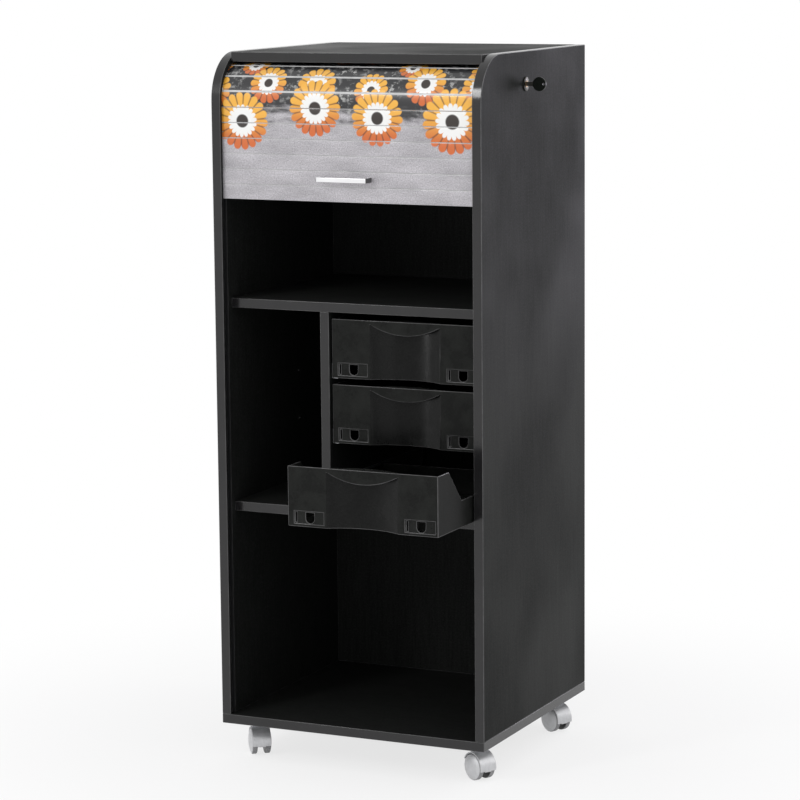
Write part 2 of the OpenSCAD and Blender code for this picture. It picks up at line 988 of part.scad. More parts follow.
// Cylinder lock in the right side panel. Turned, its cam stands up under the top
// run, where it stops the block on the last slat while the shutter is closed.
lock_y = front_y + lock_setback;
lock_z = top_z - lock_drop;
outer_x = carcass_w / 2;
lock_flange_t = 2;
lock_inside = 9;        // how far the barrel stands into the carcass
lock_nut_d = 26;
lock_nut_t = 4;
plug_proud = 0.5;
cam_plate_t = 2.5;
cam_plate_w = 12;
cam_plate_reach = 25;
plug_stub_d = 6;
key_depth = 20;
key_t = 2.2;
key_w = 7;
key_head_t = 4;
key_head_x = 24.5;      // the head's middle, from the panel's face
key_grip = 4;
stop_w = 14;
stop_h = 6;
stop_l = 16;
stop_sink = 5;          // how deep the block's screw sits in the slat
// The closed shutter's last slat stands just in front of the raised cam.
stop_run = arc_z - floor_z + arc_run + lock_y - cam_plate_w / 2 - front_arc_y;
slat_total = floor((stop_run - stop_l / 2) / slat_pitch + 0.5);
module at_lock() {
    translate([0, lock_y, lock_z])
        children();
}

plug_inner_x = side_x - lock_inside;
plug_outer_x = outer_x + lock_flange_t + plug_proud;

module lock_body() {
    color(steel_colour)
        at_lock()
            difference() {
                union() {
                    pin_x(outer_x, lock_flange_t, lock_flange_d / 2);
                    pin_x(plug_inner_x, board_t + lock_inside, lock_barrel_d / 2);
                }
                pin_x(plug_inner_x - cut, board_t + lock_inside + lock_flange_t + 2 * cut,
                      plug_d / 2 + running_gap);
            }
}

module lock_nut() {
    color(steel_colour)
        at_lock()
            difference() {
                pin_x(side_x - lock_nut_t, lock_nut_t, lock_nut_d / 2, $fn = 6);
                pin_x(side_x - lock_nut_t - cut, lock_nut_t + 2 * cut,
                      lock_barrel_d / 2 + running_gap);
            }
}

module lock_plug() {
    color(brass_colour)
        at_lock()
            difference() {
                union() {
                    pin_x(plug_inner_x, plug_outer_x - plug_inner_x, plug_d / 2);
                    pin_x(plug_inner_x - cam_plate_t, cam_plate_t + cut, plug_stub_d / 2);
                }
                translate([plug_outer_x - key_depth, -key_t / 2 - running_gap, -key_w / 2 - running_gap])
                    cube([key_depth + cut, key_t + 2 * running_gap, key_w + 2 * running_gap]);
            }
}

// The cam points to the back where the lock is open.
module lock_cam() {
    color(steel_colour)
        at_lock()
            difference() {
                along_x(plug_inner_x - cam_plate_t, cam_plate_t) {
                    circle(d = cam_plate_w);
                    translate([0, -cam_plate_w / 2])
                        square([cam_plate_reach, cam_plate_w]);
                }
                pin_x(plug_inner_x - cam_plate_t - cut, cam_plate_t + 2 * cut,
                      plug_stub_d / 2 + running_gap);
            }
}

// Screw of the stop block, or with a gap the hole that it fills.
module lock_stop_screw(gap) {
    at_slat(slat_total - 1)
        translate([plug_inner_x - cam_plate_t / 2, slat_t / 2, 0]) {
            pin_y(-stop_sink - gap, stop_sink + stop_h, fitting_screw_d / 2 + gap);
            pin_y(stop_h - fitting_head_h - gap, fitting_head_h + (gap > 0 ? cut : 0),
                  fitting_head_d / 2 + gap);
        }
}

module lock_stop() {
    color(steel_colour)
        difference() {
            at_slat(slat_total - 1)
                translate([plug_inner_x - cam_plate_t / 2 - stop_w / 2, slat_t / 2, -stop_l / 2])
                    cube([stop_w, stop_h, stop_l]);
            lock_stop_screw(running_gap);
        }
}

module key_blade() {
    x0 = plug_outer_x - key_depth + seat_gap;
    x1 = outer_x + key_head_x - key_head_d / 2 + key_grip;
    color(steel_colour)
        at_lock()
            translate([x0, -key_t / 2, -key_w / 2])
                cube([x1 - x0, key_t, key_w]);
}

module key_head() {
    ring_hole_d = 4;
    color(plastic_colour)
        at_lock()
            translate([outer_x + key_head_x, 0, 0])
                difference() {
                    pin_y(-key_head_t / 2, key_head_t, key_head_d / 2);
                    translate([key_head_d / 2 - ring_hole_d, 0, 0])
                        pin_y(-key_head_t, 2 * key_head_t, ring_hole_d / 2);
                    translate([-key_head_d / 2 - cut, -key_t / 2 - running_gap,
                               -key_w / 2 - running_gap])
                        cube([key_grip + cut, key_t + 2 * running_gap, key_w + 2 * running_gap]);
                }
}

// Castors. In a castor's own frame the swivel axis is Z, the castor trails towards
// +X with its wheels' axle across at castor_trail, and the floor is at 0.
plate_w = 42;
plate_t = 2.5;
plate_hole_pitch = 32;
castor_screw_d = 3.5;
castor_screw_l = 12;
castor_head_d = 7;
castor_head_h = 1.8;
bush_d = 18;
bush_h = 6;
swivel_pin_d = 8;
axle_d = 6;
axle_cover = 4;         // how far the axle stays inside a wheel's domed face
wheel_gap = 0.5;        // between a wheel and the hood's web
hood_gap = 0.8;         // between a wheel's tread and the fender
fender_t = 2.2;
web_t = 13;
web_clear = 16;         // height of the hood's web above the floor
neck_d = 17;
fender_low = -10;       // where the fender ends at its low end, in degrees from +X
fender_high = 155;      // and where it ends near the swivel axis
wheel_r = wheel_d / 2;
fender_r = wheel_r + hood_gap;
wheel_w = tread_w + wheel_dome;
fender_half_w = web_t / 2 + wheel_gap + tread_w;
axle_half = web_t / 2 + wheel_gap + wheel_w - axle_cover;
plate_z = castor_h - plate_t;
bush_z = plate_z - bush_h;
neck_z = bush_z - seat_gap;

function castor_x(side) = side * (carcass_w / 2 - castor_inset_x);
function castor_y(end) = end * (carcass_d / 2 - castor_inset_y);

module castor_screw_places() {
    for (side = [-1, 1])
        for (end = [-1, 1])
            for (dx = [-1, 1])
                for (dy = [-1, 1])
                    translate([castor_x(side) + dx * plate_hole_pitch / 2,
                               castor_y(end) + dy * plate_hole_pitch / 2, base_z])
                        children();
}

module castor_screws() {
    color(steel_colour)
        castor_screw_places() {
            translate([0, 0, -plate_t])
                cylinder(d = castor_screw_d, h = plate_t + castor_screw_l);
            translate([0, 0, -plate_t - castor_head_h])
                cylinder(d = castor_head_d, h = castor_head_h);
        }
}

// Puts a castor's piece in its place under the carcass.
module at_castor(side, end, turn) {
    translate([castor_x(side), castor_y(end), 0])
        rotate([0, 0, turn])
            children();
}

module castor_plate(side, end) {
    color(steel_colour)
        at_castor(side, end, 0)
            difference() {
                union() {
                    translate([-plate_w / 2, -plate_w / 2, plate_z])
                        cube([plate_w, plate_w, plate_t]);
                    translate([0, 0, bush_z])
                        cylinder(d = bush_d, h = bush_h + cut);
                }
                translate([0, 0, bush_z - cut])
                    cylinder(d = swivel_pin_d + 2 * running_gap, h = bush_h + cut);
                for (dx = [-1, 1])
                    for (dy = [-1, 1])
                        translate([dx * plate_hole_pitch / 2, dy * plate_hole_pitch / 2, plate_z - cut])
                            cylinder(d = castor_screw_d + 2 * running_gap, h = plate_t + 2 * cut);
            }
}

// Section of the fender: a ring between two angles, in X and Z about the axle.
module fender_section() {
    difference() {
        circle(r = fender_r + fender_t, $fn = 96);
        circle(r = fender_r, $fn = 96);
        // Three quarters of the plane cover all that lies between the two ends
        for (turn = [fender_high, (fender_high + fender_low) / 2 + 135, fender_low - 90])
            rotate(turn)
                square(4 * wheel_r);
    }
}

module castor_hood(side, end, turn) {
    color(castor_colour)
        at_castor(side, end, turn) {
            difference() {
                union() {
                    translate([castor_trail, 0, wheel_r]) {
                        along_y(-fender_half_w, 2 * fender_half_w)
                            fender_section();
                        pin_y(-web_t / 2, web_t, fender_r + fender_t / 2);
                    }
                    difference() {
                        translate([0, 0, wheel_r])
                            cylinder(d = neck_d, h = neck_z - wheel_r);
                        translate([castor_trail, 0, wheel_r])
                            pin_y(-fender_half_w, 2 * fender_half_w, fender_r);
                    }
                    translate([0, 0, neck_z - cut])
                        cylinder(d = swivel_pin_d, h = bush_h + cut);
                }
                // The web stays clear of the floor, and the axle passes through it
                translate([castor_trail - 2 * wheel_r, -web_t, -wheel_r])
                    cube([4 * wheel_r, 2 * web_t, wheel_r + web_clear]);
                translate([castor_trail, 0, wheel_r])
                    pin_y(-web_t, 2 * web_t, axle_d / 2 + running_gap);
            }
        }
}

module castor_axle(side, end, turn) {
    color(steel_colour)
        at_castor(side, end, turn)
            translate([castor_trail, 0, wheel_r])
                pin_y(-axle_half, 2 * axle_half, axle_d / 2);
}

// A wheel about Z, with its inner face at 0 and its domed face outwards.
rim = 1;                // bevel on the tread's edges
dome_r = (pow(wheel_r - rim, 2) + pow(wheel_dome, 2)) / (2 * wheel_dome);
module wheel_body() {
    rotate_extrude($fn = 96)
        difference() {
            union() {
                polygon([
                    [0, 0], [wheel_r - rim, 0], [wheel_r, rim],
                    [wheel_r, tread_w - rim], [wheel_r - rim, tread_w], [0, tread_w]
                ]);
                intersection() {
                    translate([0, tread_w + wheel_dome - dome_r])
                        circle(r = dome_r, $fn = 128);
                    translate([0, tread_w - rim])
                        square([wheel_r - rim, wheel_dome + rim]);
                }
            }
            translate([0, -cut])
                square([axle_d / 2 + running_gap, wheel_w - axle_cover + seat_gap + cut]);
        }
}

module castor_wheel(side, end, turn, hand) {
    color(castor_colour)
        at_castor(side, end, turn)
            translate([castor_trail, hand * (web_t / 2 + wheel_gap), wheel_r])
                rotate([-90 * hand, 0, 0])
                    wheel_body();
}

base_panel();
side_panel_left();
side_panel_right();
top_panel();
back_panel();
inner_back_panel();
upper_shelf();
lower_shelf();
divider();
track_left();
track_right();
hanging_rail_front();
hanging_rail_rear();
rail_brackets();
runners_left();
runners_right();
carcass_screws();
cam_discs();
cam_bolts();
divider_dowels();
back_screws();
castor_screws();
fitting_screws();
shutter_end_slat();
shutter_slats_front();
shutter_handle();
handle_screws();
shutter_slats_arc();
shutter_slats_top();
shutter_slats_rear();
drawer_1();
drawer_2();
drawer_3();
lock_body();
lock_nut();
lock_plug();
lock_cam();
lock_stop();
key_blade();
key_head();
castor_plate(-1, -1);  // castor_plate_fl
castor_hood(-1, -1, castor_turn_fl);  // castor_hood_fl
castor_axle(-1, -1, castor_turn_fl);  // castor_axle_fl
castor_wheel(-1, -1, castor_turn_fl, -1);  // castor_wheel_fl_a
castor_wheel(-1, -1, castor_turn_fl, 1);  // castor_wheel_fl_b
castor_plate(1, -1);  // castor_plate_fr
castor_hood(1, -1, castor_turn_fr);  // castor_hood_fr
castor_axle(1, -1, castor_turn_fr);  // castor_axle_fr
castor_wheel(1, -1, castor_turn_fr, -1);  // castor_wheel_fr_a
castor_wheel(1, -1, castor_turn_fr, 1);  // castor_wheel_fr_b
castor_plate(1, 1);  // castor_plate_br
castor_hood(1, 1, castor_turn_br);  // castor_hood_br
castor_axle(1, 1, castor_turn_br);  // castor_axle_br
castor_wheel(1, 1, castor_turn_br, -1);  // castor_wheel_br_a
castor_wheel(1, 1, castor_turn_br, 1);  // castor_wheel_br_b
castor_plate(-1, 1);  // castor_plate_bl
castor_hood(-1, 1, castor_turn_bl);  // castor_hood_bl
castor_axle(-1, 1, castor_turn_bl);  // castor_axle_bl
castor_wheel(-1, 1, castor_turn_bl, -1);  // castor_wheel_bl_a
castor_wheel(-1, 1, castor_turn_bl, 1);  // castor_wheel_bl_b
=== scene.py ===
"""Looks of the mobile filing pedestal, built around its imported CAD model.

Everything is in metres, in the CAD model's own frame: X to the right, Y to the back
and Z up, with the origin on the floor under the middle of the carcass.
"""

import json
from math import asin, cos, pi, radians, sin

import bmesh
import bpy
from mathutils import Matrix, Vector

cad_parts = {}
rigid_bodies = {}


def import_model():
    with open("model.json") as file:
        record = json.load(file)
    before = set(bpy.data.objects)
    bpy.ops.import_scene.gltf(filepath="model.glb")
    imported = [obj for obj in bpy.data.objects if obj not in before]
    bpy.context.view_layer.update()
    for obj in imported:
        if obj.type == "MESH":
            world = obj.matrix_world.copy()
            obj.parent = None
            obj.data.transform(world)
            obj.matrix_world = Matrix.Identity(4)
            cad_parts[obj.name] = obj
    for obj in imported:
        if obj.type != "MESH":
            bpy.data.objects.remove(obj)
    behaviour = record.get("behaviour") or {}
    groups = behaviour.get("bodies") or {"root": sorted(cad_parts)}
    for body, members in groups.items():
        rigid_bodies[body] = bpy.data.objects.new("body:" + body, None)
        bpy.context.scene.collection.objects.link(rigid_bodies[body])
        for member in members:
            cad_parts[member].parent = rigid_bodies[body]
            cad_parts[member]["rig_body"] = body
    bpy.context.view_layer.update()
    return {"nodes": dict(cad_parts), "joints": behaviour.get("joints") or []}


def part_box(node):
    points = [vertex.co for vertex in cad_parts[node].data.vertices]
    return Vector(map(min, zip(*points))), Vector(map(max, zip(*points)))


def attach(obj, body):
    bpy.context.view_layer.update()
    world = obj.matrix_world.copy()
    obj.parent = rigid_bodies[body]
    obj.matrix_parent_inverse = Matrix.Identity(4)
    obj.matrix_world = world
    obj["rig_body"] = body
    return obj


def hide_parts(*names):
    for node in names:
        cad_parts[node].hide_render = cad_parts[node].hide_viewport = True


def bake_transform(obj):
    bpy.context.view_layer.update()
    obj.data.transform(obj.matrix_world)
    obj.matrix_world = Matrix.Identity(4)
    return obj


bl_info = {
    "name": "Mobile filing pedestal",
    "version": (1, 0, 0),
    "blender": (4, 5, 0),
    "location": "View3D > Sidebar > Pedestal",
    "description": "Dresses the CAD model of a filing tower on castors",
    "category": "Object",
}

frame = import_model()
MM = 0.001


def box(node):
    """Lowest and highest corners of a CAD node."""
    low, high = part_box(node)
    return Vector(low), Vector(high)


# Places that the CAD model gives.
BASE_LOW, BASE_HIGH = box("base_panel")
TOP_LOW, TOP_HIGH = box("top_panel")
BOARD = BASE_HIGH.z - BASE_LOW.z
SIDE_X = BASE_HIGH.x - BOARD
END_LOW, END_HIGH = box("shutter_end_slat")
SLATS_LOW, SLATS_HIGH = box("shutter_slats_front")
REAR_LOW, REAR_HIGH = box("shutter_slats_rear")
SLAT_T = END_HIGH.y - END_LOW.y
SHUTTER_RANGE = next(j["range_m"][1] for j in frame["joints"] if j["name"] == "shutter_slide")


# Settings that a user would change.
def length_setting(name, description, default):
    """A size in metres."""
    return bpy.props.FloatProperty(name=name, description=description, default=default,
                                   unit="LENGTH", precision=4)


def colour_setting(name, description, default):
    """A colour."""
    return bpy.props.FloatVectorProperty(name=name, description=description,
                                         default=default, subtype="COLOR")


class PedestalSizes(bpy.types.PropertyGroup):
    """Sizes of the details that the looks add to the CAD solids."""

    board_round: length_setting(
        "Board edges", "Rounding of the boards' taped edges", 1.0 * MM)
    plastic_round: length_setting(
        "Moulded edges", "Rounding of the drawers' edges", 1.0 * MM)
    metal_round: length_setting(
        "Metal edges", "Rounding of the small metal pieces' edges", 0.35 * MM)
    slat_pitch: length_setting("Slat pitch", "Distance from one slat to the next", 25 * MM)
    slat_gap: length_setting("Slat gap", "Gap between two slats", 0.6 * MM)
    slat_round: length_setting("Slat edges", "Rounding of the slats' face edges", 0.9 * MM)
    shutter_r: length_setting(
        "Shutter bend", "Outside radius of the shutter's bends", 60 * MM)


class PedestalColours(bpy.types.PropertyGroup):
    """Colours of the finishes."""

    melamine: colour_setting("Board faces", "Black melamine", (0.0112, 0.0119, 0.0112))
    tape: colour_setting("Board edges", "Edge tape of the boards", (0.0125, 0.0121, 0.0127))
    drawer: colour_setting("Drawers", "Moulded black plastic", (0.0098, 0.0104, 0.0095))
    silver: colour_setting("Castors", "Silver lacquer of the castors", (0.55, 0.555, 0.565))
    print_ground: colour_setting(
        "Print ground", "Pale ground of the shutter's print", (0.450, 0.433, 0.456))
    print_dark: colour_setting(
        "Print dark", "Dark tone of the shutter's print", (0.012, 0.012, 0.014))
    print_amber: colour_setting(
        "Print amber", "Warm tone of the shutter's print", (0.86, 0.44, 0.05))
    print_orange: colour_setting(
        "Print orange", "Deep warm tone of the shutter's print", (0.62, 0.13, 0.02))
    print_white: colour_setting(
        "Print white", "White of the shutter's print", (0.86, 0.86, 0.84))


def sizes():
    """The user's sizes."""
    return bpy.context.scene.pedestal_sizes


def colours():
    """The user's colours."""
    return bpy.context.scene.pedestal_colours


# Node helpers.
def new_group(name, inputs, outputs):
    """A shader node group with named inputs (name, socket type, default) and outputs."""
    group = bpy.data.node_groups.new(name, "ShaderNodeTree")
    for label, kind, value in inputs:
        socket = group.interface.new_socket(label, in_out="INPUT", socket_type=kind)
        socket.default_value = value
    for label, kind in outputs:
        group.interface.new_socket(label, in_out="OUTPUT", socket_type=kind)
    return group


def add(tree, kind, **values):
    """Adds a node and sets its properties and, by name or number, its inputs."""
    node = tree.nodes.new(kind)
    for key, value in values.items():
        if key == "inputs":
            for socket, content in value.items():
                if isinstance(content, bpy.types.NodeSocket):
                    tree.links.new(content, node.inputs[socket])
                else:
                    node.inputs[socket].default_value = content
        else:
            setattr(node, key, value)
    return node


def maths(tree, operation, a, b=0.0):
    """A Math node's output."""
    return add(tree, "ShaderNodeMath", operation=operation, inputs={0: a, 1: b}).outputs[0]


def mix_colours(tree, factor, a, b, blend_type="MIX"):
    """A colour Mix node's output."""
    node = add(tree, "ShaderNodeMix", data_type="RGBA", blend_type=blend_type,
               inputs={0: factor, 6: a, 7: b})
    return node.outputs[2]


def spread(tree, value, low, high, to_low=0.0, to_high=1.0, smooth=False):
    """Maps a value from one range to another and holds it there."""
    node = add(tree, "ShaderNodeMapRange",
               interpolation_type="SMOOTHSTEP" if smooth else "LINEAR",
               inputs={0: value, 1: low, 2: high, 3: to_low, 4: to_high})
    return node.outputs[0]


def rgba(colour, strength=1.0):
    """A colour with its alpha."""
    return (colour[0] * strength, colour[1] * strength, colour[2] * strength, 1.0)


def noise(tree, vector, scale, detail=4.0, roughness=0.5):
    """A Noise Texture's value."""
    node = add(tree, "ShaderNodeTexNoise",
               inputs={"Vector": vector, "Scale": scale, "Detail": detail,
                       "Roughness": roughness})
    return node.outputs["Fac"]


def place_on_object(tree, stretch=(1.0, 1.0, 1.0)):
    """The place on the object in metres, stretched."""
    coords = add(tree, "ShaderNodeTexCoord")
    mapping = add(tree, "ShaderNodeMapping",
                  inputs={"Vector": coords.outputs["Object"], "Scale": stretch})
    return mapping.outputs[0]


def new_material(name):
    """A material with an empty Principled BSDF, and its tree and shader."""
    material = bpy.data.materials.new(name)
    material.use_nodes = True
    tree = material.node_tree
    shader = tree.nodes["Principled BSDF"]
    return material, tree, shader


def link_bump(tree, shader, height, distance, strength=1.0):
    """Feeds a height into the shader's normal."""
    bump = add(tree, "ShaderNodeBump",
               inputs={"Strength": strength, "Distance": distance, "Height": height})
    tree.links.new(bump.outputs[0], shader.inputs["Normal"])


# Shared effects.
def grain_group():
    """Fine pores and streaks of a wood print, stretched along Z in its own place."""
    group = new_group("wood_grain", [
        ("Vector", "NodeSocketVector", (0.0, 0.0, 0.0)),
        ("Fineness", "NodeSocketFloat", 1.0),
    ], [("Streaks", "NodeSocketFloat"), ("Pores", "NodeSocketFloat")])
    start = group.nodes.new("NodeGroupInput")
    end = group.nodes.new("NodeGroupOutput")
    stretched = add(group, "ShaderNodeVectorMath", operation="MULTIPLY",
                    inputs={0: start.outputs["Vector"], 1: (1.0, 1.0, 0.06)})
    sized = add(group, "ShaderNodeVectorMath", operation="SCALE",
                inputs={0: stretched.outputs[0], "Scale": start.outputs["Fineness"]})
    streaks = noise(group, sized.outputs[0], 260.0, 5.0, 0.6)
    pores = noise(group, sized.outputs[0], 1400.0, 2.0, 0.5)
    group.links.new(spread(group, streaks, 0.3, 0.7), end.inputs["Streaks"])
    group.links.new(spread(group, pores, 0.5, 0.75), end.inputs["Pores"])
    return group


def smudge_group():
    """Broad soft smudges and dust, as handled plastic and board faces have."""
    group = new_group("smudges", [
        ("Vector", "NodeSocketVector", (0.0, 0.0, 0.0)),
        ("Size", "NodeSocketFloat", 0.04),
    ], [("Smudges", "NodeSocketFloat"), ("Dust", "NodeSocketFloat")])
    start = group.nodes.new("NodeGroupInput")
    end = group.nodes.new("NodeGroupOutput")
    scale = maths(group, "DIVIDE", 1.0, start.outputs["Size"])
    broad = noise(group, start.outputs["Vector"], scale, 5.0, 0.62)
    fine = noise(group, start.outputs["Vector"], maths(group, "MULTIPLY", scale, 40.0), 3.0, 0.6)
    group.links.new(spread(group, broad, 0.32, 0.72, smooth=True), end.inputs["Smudges"])
    group.links.new(spread(group, fine, 0.45, 0.8), end.inputs["Dust"])
    return group


def blossom_group():
    """One row of open flowers: a mask and their colours. Each petal runs from a pale ring
    round the dark heart to its warm tip, and the flowers are deeper below."""
    group = new_group("blossom_row", [
        ("Across", "NodeSocketFloat", 0.0),
        ("Run", "NodeSocketFloat", 0.0),
        ("Row", "NodeSocketFloat", 0.15),
        ("Spacing", "NodeSocketFloat", 0.11),
        ("Reach", "NodeSocketFloat", 0.05),
        ("Petals", "NodeSocketFloat", 16.0),
        ("Share", "NodeSocketFloat", 1.0),
        ("Light", "NodeSocketColor", (0.8, 0.4, 0.05, 1.0)),
        ("Deep", "NodeSocketColor", (0.5, 0.1, 0.02, 1.0)),
        ("Pale", "NodeSocketColor", (0.9, 0.9, 0.9, 1.0)),
    ], [("Mask", "NodeSocketFloat"), ("Colour", "NodeSocketColor")])
    start = group.nodes.new("NodeGroupInput")
    end = group.nodes.new("NodeGroupOutput")
    cell = maths(group, "FLOOR", maths(group, "DIVIDE", start.outputs["Across"],
                                       start.outputs["Spacing"]))
    chance = add(group, "ShaderNodeTexWhiteNoise", noise_dimensions="2D",
                 inputs={"Vector": add(group, "ShaderNodeCombineXYZ",
                                       inputs={0: cell, 1: start.outputs["Row"]}).outputs[0]})
    pick = add(group, "ShaderNodeSeparateColor", inputs={0: chance.outputs["Color"]})
    slack = maths(group, "SUBTRACT", maths(group, "MULTIPLY", start.outputs["Spacing"], 0.5),
                  start.outputs["Reach"])
    middle = maths(group, "MULTIPLY", maths(group, "ADD", cell, 0.5), start.outputs["Spacing"])
    x = maths(group, "SUBTRACT", start.outputs["Across"], middle)
    x = maths(group, "SUBTRACT", x, maths(group, "MULTIPLY", slack,
                                          spread(group, pick.outputs[0], 0.0, 1.0, -0.9, 0.9)))
    y = maths(group, "SUBTRACT", start.outputs["Run"], start.outputs["Row"])
    y = maths(group, "SUBTRACT", y, maths(group, "MULTIPLY", start.outputs["Reach"],
                                          spread(group, pick.outputs[1], 0.0, 1.0, -0.28, 0.28)))
    length = maths(group, "SQRT", maths(group, "ADD", maths(group, "MULTIPLY", x, x),
                                        maths(group, "MULTIPLY", y, y)))

    # Two rings of petals, the inner one turned by half a petal
    reach = maths(group, "MULTIPLY", start.outputs["Reach"],
                  spread(group, pick.outputs[2], 0.0, 1.0, 0.82, 1.0))
    away = maths(group, "DIVIDE", length, reach)
    turn = maths(group, "MULTIPLY", maths(group, "ADD", maths(group, "ARCTAN2", y, x),
                                          pick.outputs[0]),
                 maths(group, "MULTIPLY", start.outputs["Petals"], 0.5))
    outer = maths(group, "POWER", maths(group, "ABSOLUTE", maths(group, "COSINE", turn)), 0.45)
    inner = maths(group, "POWER", maths(group, "ABSOLUTE", maths(group, "SINE", turn)), 0.45)
    tip = maths(group, "ADD", 0.80, maths(group, "MULTIPLY", outer, 0.20))
    shape = spread(group, maths(group, "SUBTRACT", tip, away), 0.0, 0.05, smooth=True)
    here = maths(group, "LESS_THAN", chance.outputs["Value"], start.outputs["Share"])
    group.links.new(maths(group, "MULTIPLY", shape, here), end.inputs["Mask"])

    lower = spread(group, maths(group, "DIVIDE", y, reach), -0.75, 0.35, 1.0, 0.0, smooth=True)
    warm = mix_colours(group, lower, start.outputs["Light"], start.outputs["Deep"])
    crease = maths(group, "MULTIPLY", spread(group, outer, 0.35, 0.75, 1.0, 0.0),
                   spread(group, away, 0.4, 0.6))
    warm = mix_colours(group, maths(group, "MULTIPLY", crease, 0.8), warm,
                       rgba((0.10, 0.03, 0.01)))
    ring_tip = maths(group, "ADD", 0.42, maths(group, "MULTIPLY", inner, 0.16))
    ring = spread(group, maths(group, "SUBTRACT", ring_tip, away), 0.0, 0.05, smooth=True)
    tone = mix_colours(group, ring, warm, start.outputs["Pale"])
    heart = spread(group, away, 0.2, 0.25, smooth=True)
    tone = mix_colours(group, heart, rgba((0.02, 0.012, 0.008)), tone)
    group.links.new(tone, end.inputs["Colour"])
    return group


def use_group(tree, name, **inputs):
    """Places a shared group in a material."""
    node = tree.nodes.new("ShaderNodeGroup")
    node.node_tree = bpy.data.node_groups[name]
    for key, value in inputs.items():
        if isinstance(value, bpy.types.NodeSocket):
            tree.links.new(value, node.inputs[key])
        else:
            node.inputs[key].default_value = value
    return node


# Finishes.
def melamine_material(name, colour, roughness, shine, along="Z"):
    """Black melamine with a faint wood print, its grain along an axis."""
    material, tree, shader = new_material(name)
    turn = (0.0, pi / 2, 0.0) if along == "X" else (0.0, 0.0, 0.0)
    coords = add(tree, "ShaderNodeTexCoord")
    mapping = add(tree, "ShaderNodeMapping",
                  inputs={"Vector": coords.outputs["Object"], "Rotation": turn})
    grain = use_group(tree, "wood_grain", Vector=mapping.outputs[0], Fineness=1.0)
    smudges = use_group(tree, "smudges", Vector=mapping.outputs[0], Size=0.12)
    streaked = mix_colours(tree, grain.outputs["Streaks"], rgba(colour, 0.74),
                           rgba(colour, 1.30))
    dusty = mix_colours(tree, maths(tree, "MULTIPLY", smudges.outputs["Dust"], 0.05),
                        streaked, rgba((0.3, 0.3, 0.31)))
    tree.links.new(dusty, shader.inputs["Base Color"])
    fields = noise(tree, coords.outputs["Object"], 2.4, 2.0, 0.5)
    rough = maths(tree, "ADD", roughness, spread(tree, fields, 0.36, 0.64, 0.0, 0.22, True))
    rough = maths(tree, "ADD", rough, maths(tree, "MULTIPLY", smudges.outputs["Smudges"], 0.06))
    rough = maths(tree, "ADD", rough, maths(tree, "MULTIPLY", grain.outputs["Pores"], 0.08))
    tree.links.new(rough, shader.inputs["Roughness"])
    shader.inputs["Specular IOR Level"].default_value = shine
    link_bump(tree, shader, maths(tree, "ADD", grain.outputs["Pores"], grain.outputs["Streaks"]),
              0.04 * MM, 0.6)
    return material


def back_board_material():
    """Thin painted hardboard of the back, duller than the melamine and finely mottled."""
    material, tree, shader = new_material("painted_hardboard")
    place = place_on_object(tree)
    smudges = use_group(tree, "smudges", Vector=place, Size=0.16)
    fibres = noise(tree, place, 420.0, 5.0, 0.7)
    flakes = noise(tree, place, 90.0, 4.0, 0.65)
    tone = mix_colours(tree, spread(tree, fibres, 0.3, 0.7), rgba((0.009, 0.009, 0.009)),
                       rgba((0.024, 0.024, 0.023)))
    tone = mix_colours(tree, spread(tree, flakes, 0.46, 0.66, 0.0, 0.5), tone,
                       rgba((0.036, 0.035, 0.033)))
    tone = mix_colours(tree, maths(tree, "MULTIPLY", smudges.outputs["Smudges"], 0.5), tone,
                       rgba((0.042, 0.041, 0.038)))
    tree.links.new(tone, shader.inputs["Base Color"])
    tree.links.new(spread(tree, smudges.outputs["Smudges"], 0.0, 1.0, 0.55, 0.72),
                   shader.inputs["Roughness"])
    shader.inputs["Specular IOR Level"].default_value = 0.25
    link_bump(tree, shader, fibres, 0.05 * MM, 0.6)
    return material


def smudged_material(name, size, dull, bright, smooth, rough, shine=0.5):
    """A material whose colour follows soft smudges and whose roughness follows dust."""
    material, tree, shader = new_material(name)
    smudges = use_group(tree, "smudges", Vector=place_on_object(tree), Size=size)
    tone = mix_colours(tree, smudges.outputs["Smudges"], dull, bright)
    tree.links.new(tone, shader.inputs["Base Color"])
    tree.links.new(spread(tree, smudges.outputs["Dust"], 0.0, 1.0, smooth, rough),
                   shader.inputs["Roughness"])
    shader.inputs["Specular IOR Level"].default_value = shine
    return material, tree, shader


def tape_material():
    """Edge tape: smoother and a little lighter than the boards' faces."""
    colour = colours().tape
    return smudged_material("edge_tape", 0.05, rgba(colour, 0.92), rgba(colour, 1.1),
                            0.15, 0.23)[0]


def edge_highlight_material():
    """Edges of boards and drawers: a little smoother, and lighter as a painted highlight."""
    return smudged_material("painted_edge_highlight", 0.025, rgba((0.040, 0.040, 0.040)),
                            rgba((0.085, 0.084, 0.085)), 0.26, 0.4)[0]


def drawer_material(name, shade, roughness, shine):
    """Moulded black plastic with flow marks and handling smudges. shade scales the colour,
    and below 1 it is painted shade.
    """
    material, tree, shader = new_material(name)
    colour = [shade * value for value in colours().drawer]
    place = place_on_object(tree)
    smudges = use_group(tree, "smudges", Vector=place, Size=0.03)
    tone = mix_colours(tree, smudges.outputs["Smudges"], rgba(colour, 0.72), rgba(colour, 1.40))
    dusty = mix_colours(tree, maths(tree, "MULTIPLY", smudges.outputs["Dust"], 0.08), tone,
                        rgba((0.25, 0.25, 0.25)))
    tree.links.new(dusty, shader.inputs["Base Color"])
    tree.links.new(spread(tree, smudges.outputs["Smudges"], 0.0, 1.0,
                          roughness, roughness + 0.14), shader.inputs["Roughness"])
    shader.inputs["Specular IOR Level"].default_value = shine
    link_bump(tree, shader, noise(tree, place, 2600.0, 2.0), 0.03 * MM, 0.5)
    return material


